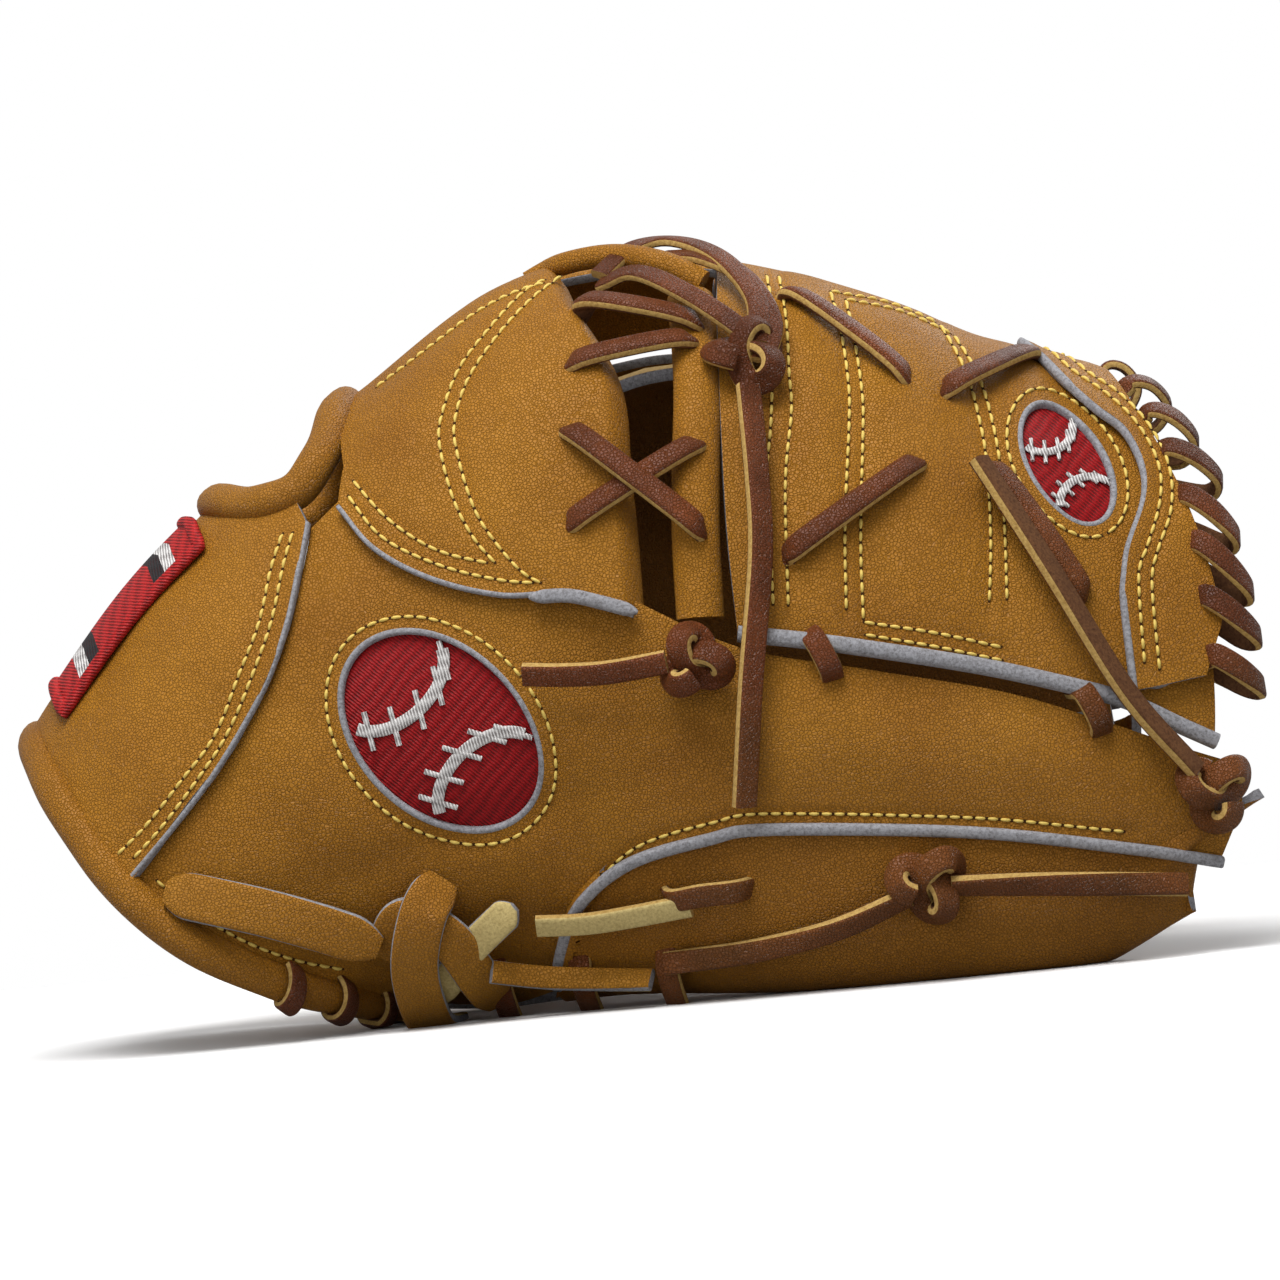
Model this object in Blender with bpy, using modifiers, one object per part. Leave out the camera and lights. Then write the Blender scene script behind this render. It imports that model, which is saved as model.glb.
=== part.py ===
"""Baseball glove, palm side down, resting on its heel, thumb edge and little-finger edge.

+X runs from the wrist to the fingertips, +Z is up, and -Y is the thumb side. Metres.
The glove is built on one "form", like the last of a shoe. A form point is given by s,
from the wrist opening (0) to the fingertips (1), and by u, from the ridge along the top
(0) down the thumb side (+1) or down the finger side (-1). Depth is measured inwards.
"""
import math

import bmesh
import bpy
from mathutils import Vector

MM = 0.001

# The form: s, ridge x and z, lower edge x and z, half width, half arc in degrees, bulge.
FORM = [
    (0.00, -147, 82, -64, 3.0, 50, 178, -14),
    (0.12, -122, 111, -48, 0.8, 54, 172, -8),
    (0.22, -100, 130, -36, -0.6, 57, 166, -3),
    (0.32, -80, 143, -22, -0.6, 60, 158, 0),
    (0.42, -60, 155, -8, -0.6, 63, 150, 0),
    (0.52, -24, 177, 12, -0.6, 67, 138, 0),
    (0.64, 15, 183, 40, -0.6, 70, 128, 0),
    (0.76, 58, 172, 72, -0.6, 69, 120, 1),
    (0.88, 95, 154, 104, 1.0, 65, 114, 6),
    (1.00, 122, 141, 131, 14, 58, 110, 13),
]
# The palm sheet: s, apex down the section, thumb-side end u and depth, finger-side end, arc.
PALM = [
    (0.06, 0.95, 0.66, 13, -0.70, 13, 60),
    (0.20, 0.88, 0.64, 16, -0.76, 15, 66),
    (0.32, 0.62, 0.60, 27, -0.83, 20, 84),
    (0.44, 0.34, 0.59, 28, -0.84, 27, 96),
    (0.56, 0.18, 0.58, 28, -0.84, 27, 98),
    (0.76, 0.16, 0.58, 27, -0.84, 27, 98),
    (1.00, 0.17, 0.58, 20, -0.84, 22, 98),
]

LEATHER = 3.0
HOLE = (0.318, 0.088, -0.02, 0.215)
STALL = 28.0
EDGE_TURN = 0.07
EDGE_REACH = 0.097
# Moves the origin to the middle of the underside.
SHIFT = Vector((-1.85, 4.1, 0))
SEAM_GAP = 0.7
BINDING_R = 3.9
WELT_R = 1.9
LACE_R = 2.6

# Outlines seen from the thumb side, x and z in mm.
STRAP_SEAM = [(-74, 124), (-78, 112), (-87, 87), (-102, 66), (-117, 51)]
CROTCH_LOW = [(-66, 126), (-58, 116), (-44, 107), (-29, 101), (-13, 100), (2, 94)]
THUMB_HIGH = [(2, 93), (26, 82), (55, 75), (88, 66), (108, 57), (128, 48), (139, 43)]
WELT_LINE = [(-25, 5), (-23, 15), (-16, 27), (-4, 35), (16, 39), (40, 38.5), (77, 34.5), (110, 30), (133, 28)]
HEEL_LINE = [(-62, 5), (-50, 2), (-38, 1), (-27, 2)]
WRIST_EDGE = [(-121, 44), (-109, 31), (-93, 19), (-75, 9), (-62, 5)]
TIP_EDGE = [(139, 43), (139, 38), (138, 33), (136, 31)]
CROTCH_SIDE = [(-9, 180), (4, 152), (4, 128), (4, 112), (3, 96)]
WEB_LOW = [(27, 90), (55, 83), (81, 76), (100, 71), (116, 65), (130, 57)]
WEB_SIDE = [(30, 177), (29, 160), (27, 132), (26, 110), (27, 91)]
TOP_PANEL_SIDE = [(104, 149), (112, 138), (122, 126), (126, 112), (120, 98), (117, 86), (117, 72)]
BASE_ROLL = [(24, 170), (23, 150), (20, 130), (18, 112), (17, 94)]
THUMB_PATCH = (-46, 70, 27, 19, -38)
WEB_PATCH = (111, 120, 14, 9, -58)

COLOURS = {
    "leather": ((0.45, 0.21, 0.035), 0.5),
    "palm": ((0.38, 0.17, 0.03), 0.55),
    "lace": ((0.1, 0.03, 0.012), 0.5),
    "tan_lace": ((0.5, 0.27, 0.07), 0.6),
    "grey": ((0.3, 0.3, 0.33), 0.8),
    "red": ((0.35, 0.01, 0.01), 0.75),
    "felt": ((0.5, 0.47, 0.4), 0.95),
    "lining": ((0.6, 0.45, 0.2), 0.85),
    "fleece": ((0.7, 0.66, 0.55), 0.95),
}


def clear_scene():
    for item in list(bpy.data.objects):
        bpy.data.objects.remove(item, do_unlink=True)


def collection(name):
    made = bpy.data.collections.new(name)
    bpy.context.scene.collection.children.link(made)
    return made


def material(name, key):
    colour, rough = COLOURS[key]
    made = bpy.data.materials.new(name)
    made.use_nodes = True
    shader = made.node_tree.nodes["Principled BSDF"]
    shader.inputs["Base Color"].default_value = (*colour, 1)
    shader.inputs["Roughness"].default_value = rough
    shader.inputs["Metallic"].default_value = 0
    made.diffuse_color = (*colour, 1)
    return made


def hermite(rows, t):
    """Smooth values between the rows of a table whose first column is the parameter."""
    last = len(rows) - 1
    i = 0
    while i < last - 1 and t > rows[i + 1][0]:
        i += 1
    a, b = rows[i], rows[i + 1]
    before = rows[max(i - 1, 0)]
    after = rows[min(i + 2, last)]
    span = b[0] - a[0]
    k = min(max((t - a[0]) / span, -0.3), 1.3)
    out = []
    for n in range(1, len(a)):
        m0 = (b[n] - before[n]) / (b[0] - before[0]) * span
        m1 = (after[n] - a[n]) / (after[0] - a[0]) * span
        h = (2 * k**3 - 3 * k**2 + 1) * a[n] + (k**3 - 2 * k**2 + k) * m0
        out.append(h + (3 * k**2 - 2 * k**3) * b[n] + (k**3 - k**2) * m1)
    return out


def outer(s, u):
    """The form's outer surface, in mm."""
    tx, tz, bx, bz, width, arc, bulge = hermite(FORM, s)
    angle = math.radians(arc)
    f = (1 - math.cos(u * angle)) / (1 - math.cos(angle))
    length = math.hypot(bx - tx, bz - tz)
    swell = bulge * math.sin(math.pi * min(f, 1))
    x = tx + (bx - tx) * f - swell * (bz - tz) / length
    z = tz + (bz - tz) * f + swell * (bx - tx) / length
    return Vector((x, -width * math.sin(u * angle), z))


def outward(s, u):
    step = 0.004
    along = outer(s + step, u) - outer(s - step, u)
    across = outer(s, u + step) - outer(s, u - step)
    normal = along.cross(across).normalized()
    tx, tz, bx, bz, width, arc, bulge = hermite(FORM, s)
    centre = Vector(((tx + bx) / 2, 0, (tz + bz) / 2))
    if normal.dot(outer(s, u) - centre) < 0:
        normal = -normal
    return normal


def skin(s, u, depth=0.0):
    return outer(s, u) - outward(s, u) * depth


def locate(x, z):
    """The s and u of the thumb-side form point seen at x, z."""
    low, high = -0.03, 1.06
    for _ in range(34):
        s = (low + high) / 2
        tx, tz, bx, bz, width, arc, bulge = hermite(FORM, s)
        length = math.hypot(bx - tx, bz - tz)
        ax, az = (bx - tx) / length, (bz - tz) / length
        f = ((x - tx) * ax + (z - tz) * az) / length
        f = min(max(f, 0), 1)
        side = (x - tx) * -az + (z - tz) * ax - bulge * math.sin(math.pi * f)
        if side > 0:
            low = s
        else:
            high = s
    angle = math.radians(arc)
    cosine = 1 - f * (1 - math.cos(angle))
    return s, math.acos(min(max(cosine, -1), 1)) / angle


def seen(points):
    return [locate(x, z) for x, z in points]


def along(points, t):
    """The point a fraction t of the way along a polyline of form points."""
    spots = [outer(*p) for p in points]
    steps = [(b - a).length for a, b in zip(spots, spots[1:])]
    left = t * sum(steps)
    for i, step in enumerate(steps):
        if left <= step or i == len(steps) - 1:
            k = left / step
            a, b = points[i], points[i + 1]
            return a[0] + (b[0] - a[0]) * k, a[1] + (b[1] - a[1]) * k
        left -= step


def cornered(first, second, corner):
    """Two polylines end to end, with the corner between them at a set fraction."""

    def place(t):
        if t <= corner:
            return along(first, t / corner)
        return along(second, (t - corner) / (1 - corner))

    return place


def coons(left, right, high, low):
    """A map of the unit square onto the form area within four edges."""
    edges = [e if callable(e) else (lambda t, line=e: along(line, t)) for e in (left, right, high, low)]

    def place(a, b):
        le, ri = edges[0](b), edges[1](b)
        hi, lo = edges[2](a), edges[3](a)
        ends = [edges[3](0), edges[3](1), edges[2](0), edges[2](1)]
        out = []
        for n in (0, 1):
            ruled = (1 - b) * lo[n] + b * hi[n] + (1 - a) * le[n] + a * ri[n]
            corner = (1 - a) * ((1 - b) * ends[0][n] + b * ends[2][n])
            corner += a * ((1 - b) * ends[1][n] + b * ends[3][n])
            out.append(ruled - corner)
        return out

    return place


def palm(s, v, lift=0.0):
    """The palm sheet. v runs from the finger side (-1) to the thumb side (1)."""
    apex, near_u, near_d, far_u, far_d, palm_arc = hermite(PALM, s)
    tx, tz, bx, bz, width, arc, bulge = hermite(FORM, s)
    top = Vector((tx + (bx - tx) * apex, 0, tz + (bz - tz) * apex))
    end = skin(s, near_u, near_d) if v > 0 else skin(s, far_u, far_d)
    angle = math.radians(palm_arc)
    drop = (1 - math.cos(v * angle)) / (1 - math.cos(angle))
    across = math.sin(abs(v) * angle) / math.sin(angle)
    spot = Vector((top.x + (end.x - top.x) * drop, end.y * across, top.z + (end.z - top.z) * drop))
    if not lift:
        return spot
    step = 0.01
    one = palm(s + step, v) - palm(s - step, v)
    two = palm(s, v + step) - palm(s, v - step)
    return spot - one.cross(two).normalized() * lift


def sheet_object(place, name, key, columns, rows, thickness, home, sense):
    """A leather sheet: a grid of points given by place, thickened away from sense."""
    bm = bmesh.new()
    bmesh.ops.create_grid(bm, x_segments=columns, y_segments=rows, size=0.5)
    for vert in bm.verts:
        vert.co = (place(vert.co.x + 0.5, vert.co.y + 0.5) + SHIFT) * MM
    bm.normal_update()
    votes = sum(f.normal.dot(sense(f.calc_center_median() / MM - SHIFT)) for f in bm.faces)
    if votes < 0:
        bmesh.ops.reverse_faces(bm, faces=bm.faces)
    mesh = bpy.data.meshes.new(name)
    bm.to_mesh(mesh)
    bm.free()
    mesh.shade_smooth()
    made = bpy.data.objects.new(name, mesh)
    home.objects.link(made)
    made.data.materials.append(material(name, key))
    solid = made.modifiers.new("Thickness", "SOLIDIFY")
    solid.thickness = thickness * MM
    solid.offset = -1
    return made


def away(spot):
    """Roughly outwards from the middle of the glove."""
    return Vector((0.15 * spot.x, spot.y, 0.6 * (spot.z - 60)))


def panel(name, key, place, columns, rows, home, depth=0.0, thickness=LEATHER, puff=0.0):
    """A piece that lies on the form. puff swells it outwards across its width."""

    def point(a, b):
        s, u = place(a, b)
        return skin(s, u, depth - puff * math.sin(math.pi * b) ** 0.7)

    return sheet_object(point, name, key, columns, rows, thickness, home, away)


def stall(name, place, columns, rows, home):
    """A finger's back: swollen across its width and turned down at its tip."""

    def point(a, b):
        s, u = place(a, b)
        turn = 15 * max(0, (a - 0.84) / 0.16) ** 2
        return skin(s, u, 1.5 - 5.0 * math.sin(math.pi * b) ** 0.7 + turn)

    return sheet_object(point, name, "leather", columns, rows, LEATHER, home, away)


def palm_piece(name, key, place, columns, rows, home, lift, thickness):
    def point(a, b):
        s, v = place(a, b)
        return palm(s, v, lift)

    def up(spot):
        return Vector((0, 0.02 * spot.y, 1))

    return sheet_object(point, name, key, columns, rows, thickness, home, up)


def tube(name, key, points, radius, home, closed=False, resolution=2):
    curve = bpy.data.curves.new(name, "CURVE")
    curve.dimensions = "3D"
    curve.bevel_depth = radius * MM
    curve.bevel_resolution = resolution
    curve.use_fill_caps = True
    line = curve.splines.new("POLY")
    line.points.add(len(points) - 1)
    for spot, point in zip(line.points, points):
        spot.co = (*((point + SHIFT) * MM), 1)
    line.use_cyclic_u = closed
    made = bpy.data.objects.new(name, curve)
    home.objects.link(made)
    made.data.materials.append(material(name, key))
    return made


def smooth_path(marks, count):
    """Evenly numbered points on a smooth line through marks."""
    rows = [(i, *mark) for i, mark in enumerate(marks)]
    last = len(marks) - 1
    return [Vector(hermite(rows, last * n / (count - 1))) for n in range(count)]


def ball(name, key, spot, radii, home):
    bm = bmesh.new()
    bmesh.ops.create_uvsphere(bm, u_segments=12, v_segments=8, radius=1)
    for vert in bm.verts:
        vert.co = (Vector([spot[n] + vert.co[n] * radii[n] for n in range(3)]) + SHIFT) * MM
    mesh = bpy.data.meshes.new(name)
    bm.to_mesh(mesh)
    bm.free()
    mesh.shade_smooth()
    made = bpy.data.objects.new(name, mesh)
    home.objects.link(made)
    made.data.materials.append(material(name, key))
    return made


def floor_cutter(cutters):
    mesh = bpy.data.meshes.new("floor_cutter")
    bm = bmesh.new()
    bmesh.ops.create_cube(bm, size=1)
    for vert in bm.verts:
        vert.co = Vector((vert.co.x * 0.5, vert.co.y * 0.4, vert.co.z * 0.04 - 0.02))
    bm.to_mesh(mesh)
    bm.free()
    made = bpy.data.objects.new("floor_cutter", mesh)
    cutters.objects.link(made)
    made.hide_render = True
    made.display_type = "WIRE"
    return made


def flatten(item, cutter):
    """Gives a piece the real flat underside that it rests on."""
    cut = item.modifiers.new("Floor", "BOOLEAN")
    cut.operation = "DIFFERENCE"
    cut.solver = "EXACT"
    cut.object = cutter


def box_map(s0, s1, u0, u1):
    return lambda a, b: (s0 + (s1 - s0) * a, u0 + (u1 - u0) * b)


def turned_map(outside, side):
    """A stall's lower piece: down the outside, round the edge and up the inside."""
    edge = 1 - EDGE_TURN

    def point(a, b):
        s = outside(a, 1)[0]
        thick = STALL - 3 - 14 * max(0, (s - 0.8) / 0.2) ** 2 - 10 * max(0, (0.42 - s) / 0.14) ** 2
        inner_top = 0.66 + 0.13 * max(0, (s - 0.7) / 0.25) ** 1.5 if side > 0 else 0.885
        if b < 0.3:
            (s, u), depth = outside(a, b / 0.3), 0
        elif b < 0.7:
            turn = math.pi * (b - 0.3) / 0.4
            u, depth = edge + EDGE_REACH * math.sin(turn), thick * (1 - math.cos(turn)) / 2
        else:
            u, depth = edge + (inner_top - edge) * (b - 0.7) / 0.3, thick
        return skin(s, side * u, depth)

    return point


def turned_piece(name, key, point, columns, rows, home):
    def outside(spot):
        return Vector((0, spot.y if abs(spot.y) > 50 else 0, 0))

    return sheet_object(point, name, key, columns, rows, LEATHER, home, outside)


def oval_map(spec):
    """An oval patch: a square map squeezed to a disc, turned and laid on the form."""
    cx, cz, half_long, half_short, tilt = spec
    turn = math.radians(tilt)

    def place(a, b):
        x, y = 2 * a - 1, 2 * b - 1
        dx = x * math.sqrt(1 - y * y / 2) * half_long
        dy = y * math.sqrt(1 - x * x / 2) * half_short
        px = cx + dx * math.cos(turn) - dy * math.sin(turn)
        pz = cz + dx * math.sin(turn) + dy * math.cos(turn)
        return locate(px, pz)

    return place


def at_u(line, u):
    """The s of a seam line at u."""
    i = 0
    while i < len(line) - 2 and u > line[i + 1][1]:
        i += 1
    a, b = line[i], line[i + 1]
    k = min(max((u - a[1]) / (b[1] - a[1]), 0), 1)
    return a[0] + (b[0] - a[0]) * k


def hole_side(u):
    """The wrist side of the hand hole, clear of its binding."""
    k = (u - HOLE[2]) / (HOLE[3] + 0.025)
    if abs(k) >= 1:
        return 1
    return HOLE[0] - HOLE[1] * math.sqrt(1 - k * k) - 0.026


def shifted(points, distance):
    """A line moved sideways, to the left of its direction, in mm."""
    out = []
    for i, spot in enumerate(points):
        a, b = points[max(i - 1, 0)], points[min(i + 1, len(points) - 1)]
        length = math.hypot(b[0] - a[0], b[1] - a[1])
        out.append((spot[0] - (b[1] - a[1]) / length * distance, spot[1] + (b[0] - a[0]) / length * distance))
    return out


def finger_map(s0, s1, u0, u1):
    """A finger's back, rounded off in plan at its tip."""

    def place(a, b):
        tip = s1 - 0.03 * abs(2 * b - 1) ** 4
        return s0 + (tip - s0) * a, u0 + (u1 - u0) * b

    return place


def make_hand(home, cutter):
    seam = seen(STRAP_SEAM)
    first = seam[-1][1] - 0.01

    def strap(a, b):
        u = first - (first + 0.84) * a
        start = 0.022 + 0.012 * abs(u)
        edge = max(min(at_u(seam, u) - 0.012, hole_side(u)), start + 0.01)
        if u < 0:
            edge = min(edge, 0.2 + 0.1 * u)
        return start + (edge - start) * b, u

    panel("wrist_strap", "leather", strap, 26, 4, home)
    panel("wrist_fleece", "fleece", box_map(0.035, 0.17, -0.5, 0.2), 4, 12, home, 3.6, 6.0)
    panel("wrist_label", "red", box_map(0.04, 0.19, -0.3, 0.045), 4, 8, home, -2.2, 1.7)
    side = panel("pinky_shell", "leather", finger_side, 8, 16, home)
    flatten(side, cutter)
    high = [(0.435, 0.03), (0.47, 0.03), (0.52, 0.035), (0.57, 0.04)]
    left = seen(CROTCH_LOW[:1]) + [(0.40, 0.2), (0.425, 0.1), (0.435, 0.03)]
    right = list(reversed(seen(CROTCH_SIDE)[1:])) + [(0.57, 0.04)]
    low = seen([(x, z + SEAM_GAP) for x, z in CROTCH_LOW])
    left[0] = low[0]
    right[0] = low[-1]
    panel("crotch_panel", "leather", coons(left, right, high, low), 14, 10, home)
    fingers = [
        ("index_back", -0.065, -0.275, 0.465, 0.975),
        ("middle_back", -0.29, -0.505, 0.455, 0.985),
        ("ring_back", -0.52, -0.735, 0.46, 0.98),
    ]
    for name, u0, u1, s0, s1 in fingers:
        stall(name, finger_map(s0, s1, u0, u1), 16, 7, home)
    little = turned_map(box_map(0.47, 0.965, 0.755, 1 - EDGE_TURN), -1)
    flatten(turned_piece("pinky_back", "leather", little, 18, 16, home), cutter)
    panel("knuckle_bridge", "leather", box_map(0.425, 0.452, -0.72, -0.02), 2, 16, home, 0.5)


def finger_side(a, b):
    """The outside of the hand on the little-finger side, between strap and fingers."""
    u = -0.30 - 0.692 * b
    start = 0.2 + 0.1 * u + 0.012
    if u < -0.86:
        start = max(0.045, start - 1.0 * (-0.86 - u))
    end = 0.418 if u > -0.74 else 0.46
    return start + (end - start) * a, u


def make_palm(home, cutter):
    def place(a, b):
        s = 0.115 + 0.845 * a
        k = min(max((s - 0.5) / 0.07, 0), 1)
        near = 0.98 - 0.93 * k * k * (3 - 2 * k)
        return s, -0.985 + (near + 0.985) * b

    sheet = palm_piece("palm_shell", "palm", place, 26, 18, home, 0, LEATHER)
    flatten(sheet, cutter)
    palm_piece("palm_pad", "felt", box_map(0.16, 0.44, -0.7, 0.55), 8, 12, home, 4.4, 3.6)
    palm_piece("hand_lining", "lining", box_map(0.14, 0.48, -0.72, 0.57), 10, 12, home, 6.6, 1.4)
    palm_piece("stall_lining", "lining", box_map(0.52, 0.9, -0.8, -0.08), 12, 10, home, 2.4, 1.4)


def make_thumb(home, cutter):
    left = seen(list(reversed(STRAP_SEAM)))
    wrist = [(max(s, 0.062), u) for s, u in seen(WRIST_EDGE)]
    top = seen([(x, z - SEAM_GAP) for x, z in CROTCH_LOW[:-1] + THUMB_HIGH])
    heel = [(s, min(u, 0.955)) for s, u in seen(HEEL_LINE)]
    welt = seen(shifted(WELT_LINE, 2.9))
    tip = seen(list(reversed(TIP_EDGE)))
    left[0] = wrist[0]
    heel = wrist + heel[1:] + [welt[0]]
    tip[0] = welt[-1]
    tip[-1] = top[-1]
    top[0] = left[-1]
    back = coons(left, tip, top, cornered(heel, welt, 9 / 30))
    flatten(panel("thumb_back", "leather", back, 30, 16, home), cutter)

    line = seen(shifted(WELT_LINE, -3.0))
    edge = 1 - EDGE_TURN
    steep = [(line[0][0] + 0.002, edge)] + list(line[1:4])
    ahead = line[3:]
    last = [(0.975, edge), (0.975, (edge + ahead[-1][1]) / 2), ahead[-1]]
    outside = coons(steep, last, ahead, [steep[0], last[0]])
    lower = turned_map(lambda a, b: outside(a, 1 - b), 1)
    flatten(turned_piece("thumb_front", "leather", lower, 30, 18, home), cutter)
    middle = seen(WELT_LINE)[1:]
    welt_path = [skin(*along(middle, n / 33), 1.6) for n in range(34)]
    tube("thumb_welt", "grey", welt_path, WELT_R, home, False, 1)
    felt = box_map(0.5, 0.9, 0.72, 0.87)
    panel("thumb_felt", "felt", felt, 12, 5, home, 3.8, 4.5)
    panel("thumb_lining", "lining", box_map(0.5, 0.86, 0.7, 0.88), 12, 5, home, 17.0, 1.4)
    panel("thumb_patch", "red", oval_map(THUMB_PATCH), 8, 6, home, -1.9, 1.5)
    centre = skin(0.7, 0.73, 12.5)
    hoop = []
    for n in range(20):
        t = 0.3 + (2 * math.pi - 0.6) * n / 19
        hoop.append(centre + Vector((0, 3.0 * math.cos(t), 7.4 * math.sin(t))))
    tube("thumb_loop", "tan_lace", hoop, 1.0, home, False, 1)


def make_web(home):
    left = list(reversed(seen(WEB_SIDE)))
    low = seen(WEB_LOW)
    over = -0.04
    high = [(left[-1][0] + 0.005, over), (0.75, over), (0.87, over), (0.985, over)]
    right = [low[-1], (0.99, 0.3), (0.985, over)]
    left = left[:-1] + [high[0]]
    left[0] = low[0]
    area = coons(left, right, high, low)
    panel("web_front_panel", "palm", area, 16, 14, home, 5.2, 2.8)
    panel("web_back_panel", "leather", area, 16, 14, home, 1.6, 2.8)
    side = seen(list(reversed(TOP_PANEL_SIDE)))
    top = [(0.915, 0.02), (0.985, 0.02)]
    end = [(0.985, side[0][1] + 0.02), (0.99, 0.3), (0.985, 0.02)]
    base = [side[0], end[0]]
    side[-1] = top[0]
    panel("web_top_panel", "leather", coons(side, end, top, base), 5, 14, home, -1.2, 2.3)
    roll = [skin(s, u, 5.5) for s, u in seen(BASE_ROLL)]
    tube("web_base_roll", "leather", smooth_path(roll, 16), 4.2, home)
    panel("web_patch", "red", oval_map(WEB_PATCH), 6, 5, home, -2.7, 1.2)


def make_bindings(home):
    ring = [skin(0.0, -1 + 2 * n / 60, 4.4) for n in range(60)]
    tube("wrist_binding", "leather", ring, BINDING_R, home, True)
    hole = []
    for n in range(36):
        t = 2 * math.pi * n / 36
        s = HOLE[0] + HOLE[1] * math.cos(t)
        hole.append(skin(s, HOLE[2] + HOLE[3] * math.sin(t), 3.6))
    tube("opening_binding", "leather", hole, BINDING_R, home, True)


def make_edge_lace(home):
    turns = 8
    points = []
    for n in range(turns * 9 + 1):
        k = n / (turns * 9)
        u = 0.03 + 0.53 * k
        angle = 2 * math.pi * (turns * k) + math.pi / 2
        middle = skin(1.028, u, 4.0)
        forward = (skin(1.04, u, 4.0) - skin(1.0, u, 4.0)).normalized()
        out = outward(1.02, u)
        points.append(middle + forward * (4.6 * math.cos(angle)) + out * (7.0 * math.sin(angle)))
    tube("edge_lace", "lace", points, 2.2, home, False, 1)


def laid(points, depth):
    """Points on the thumb side given as x and z, at a depth under the form."""
    return [skin(*locate(x, z), depth) for x, z in points]


def make_laces(home):
    bars = [
        ("bar_lace_a", [(49, 167), (60, 156), (71, 145)]),
        ("bar_lace_b", [(83, 140), (94, 142), (104, 146)]),
        ("bar_lace_c", [(42, 106), (57, 115), (72, 123)]),
        ("bar_lace_d", [(91, 119), (99, 106), (108, 90)]),
    ]
    for name, marks in bars:
        tube(name, "lace", smooth_path(laid(marks, -2.2), 6), LACE_R, home, False, 1)
    crossing = [
        ("cross_lace_a", (-2, 169), (19, 163), -3.2),
        ("cross_lace_b", (-6, 154), (16, 150), -3.2),
        ("cross_lace_c", (-8, 138), (13, 124), -3.2),
        ("cross_lace_d", (-10, 118), (11, 107), -3.2),
    ]
    for name, start, end, depth in crossing:
        marks = laid([start, ((start[0] + end[0]) / 2, (start[1] + end[1]) / 2), end], depth)
        tube(name, "lace", smooth_path(marks, 7), LACE_R, home, False, 1)
    heel = []
    for n in range(25):
        k = n / 24
        turn = 2 * math.pi * 3 * k
        middle = skin(0.0, 0.97 - 0.22 * k, 4.4)
        inward = (skin(0.1, 0.97 - 0.22 * k, 4.4) - middle).normalized()
        out = outward(0.0, 0.97 - 0.22 * k)
        heel.append(middle + out * (6.5 * math.sin(turn)) - inward * (6.5 * math.cos(turn)))
    tube("heel_lace", "lace", heel, 1.5, home, False, 1)
    tips = [skin(0.86, -0.09 - 0.76 * n / 24, 15 + 1.5 * math.sin(n * 1.2)) for n in range(25)]
    tube("fingertip_lace", "lace", tips, LACE_R, home, False, 1)
    loop = []
    centre = skin(0.68, -0.84, 11)
    for n in range(20):
        t = 2 * math.pi * n / 20
        loop.append(centre + Vector((0, 3.2 * math.cos(t), 8 * math.sin(t))))
    tube("pinky_loop", "tan_lace", loop, 1.2, home, True, 1)


def make_knots(home):
    knots = [
        ("web_knot", (34.5, 151), -7.4, (8, 5, 9), "lace"),
        ("gap_knot", (15, 80), -7.0, (8, 5, 7), "lace"),
        ("tip_knot", (134, 38), -7.2, (7, 5, 9), "lace"),
        ("low_knot", (65, 24), -6.6, (9, 5, 7), "lace"),
        ("strap_knot", (-53, 22), -12.5, (13, 6, 11), "tan_lace"),
    ]
    for name, mark, depth, radii, key in knots:
        ball(name, key, skin(*locate(*mark), depth), radii, home)
    tails = [
        ("web_tail", [(34, 140), (33, 122), (32, 104), (27, 75), (22, 46)], [-8, -6, -6, -6, -4.5], "lace"),
        ("gap_tail", [(6, 82), (-6, 81), (-16, 82), (-25, 83)], [-7, -6, -5, -4.5], "lace"),
        ("tip_tail", [(127, 46), (113, 66), (99, 94), (85, 120)], [-8, -6.5, -6, -6.5], "lace"),
        ("low_tail_a", [(75, 23), (92, 21), (110, 19), (125, 18)], [-7, -6, -6, -6.5], "lace"),
        ("low_tail_b", [(55, 22), (40, 15), (20, 13), (2, 13)], [-6.6, -5.2, -5, -5], "lace"),
        ("flesh_tail", [(9, 25), (-4, 24), (-16, 24), (-28, 25)], [-5, -4.8, -5.2, -6], "tan_lace"),
        ("strap_tail", [(-38, 17), (-26, 13), (-13, 11), (-2, 10)], [-9, -6.5, -6, -6], "tan_lace"),
    ]
    for name, marks, depths, key in tails:
        spots = [skin(*locate(*m), d) for m, d in zip(marks, depths)]
        length = sum((b - a).length for a, b in zip(spots, spots[1:]))
        count = max(6, int(length / 12) + 1)
        tube(name, key, smooth_path(spots, count), LACE_R, home, False, 2)
    flap = [(0, -104, 42), (1, -96, 40), (2, -88, 37), (3, -80, 33), (4, -70, 28)]

    def strip(a, b):
        x, z = hermite(flap, 4 * a)
        return skin(*locate(x, z - 9 * (b - 0.5)), -2.8)

    sheet_object(strip, "strap_flap", "tan_lace", 10, 2, 2.0, home, away)


def build():
    clear_scene()
    home = collection("baseball_glove")
    cutters = collection("cutters")
    cutter = floor_cutter(cutters)
    make_hand(home, cutter)
    make_palm(home, cutter)
    make_thumb(home, cutter)
    make_web(home)
    make_bindings(home)
    make_edge_lace(home)
    make_laces(home)
    make_knots(home)


build()
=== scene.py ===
import math

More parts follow.
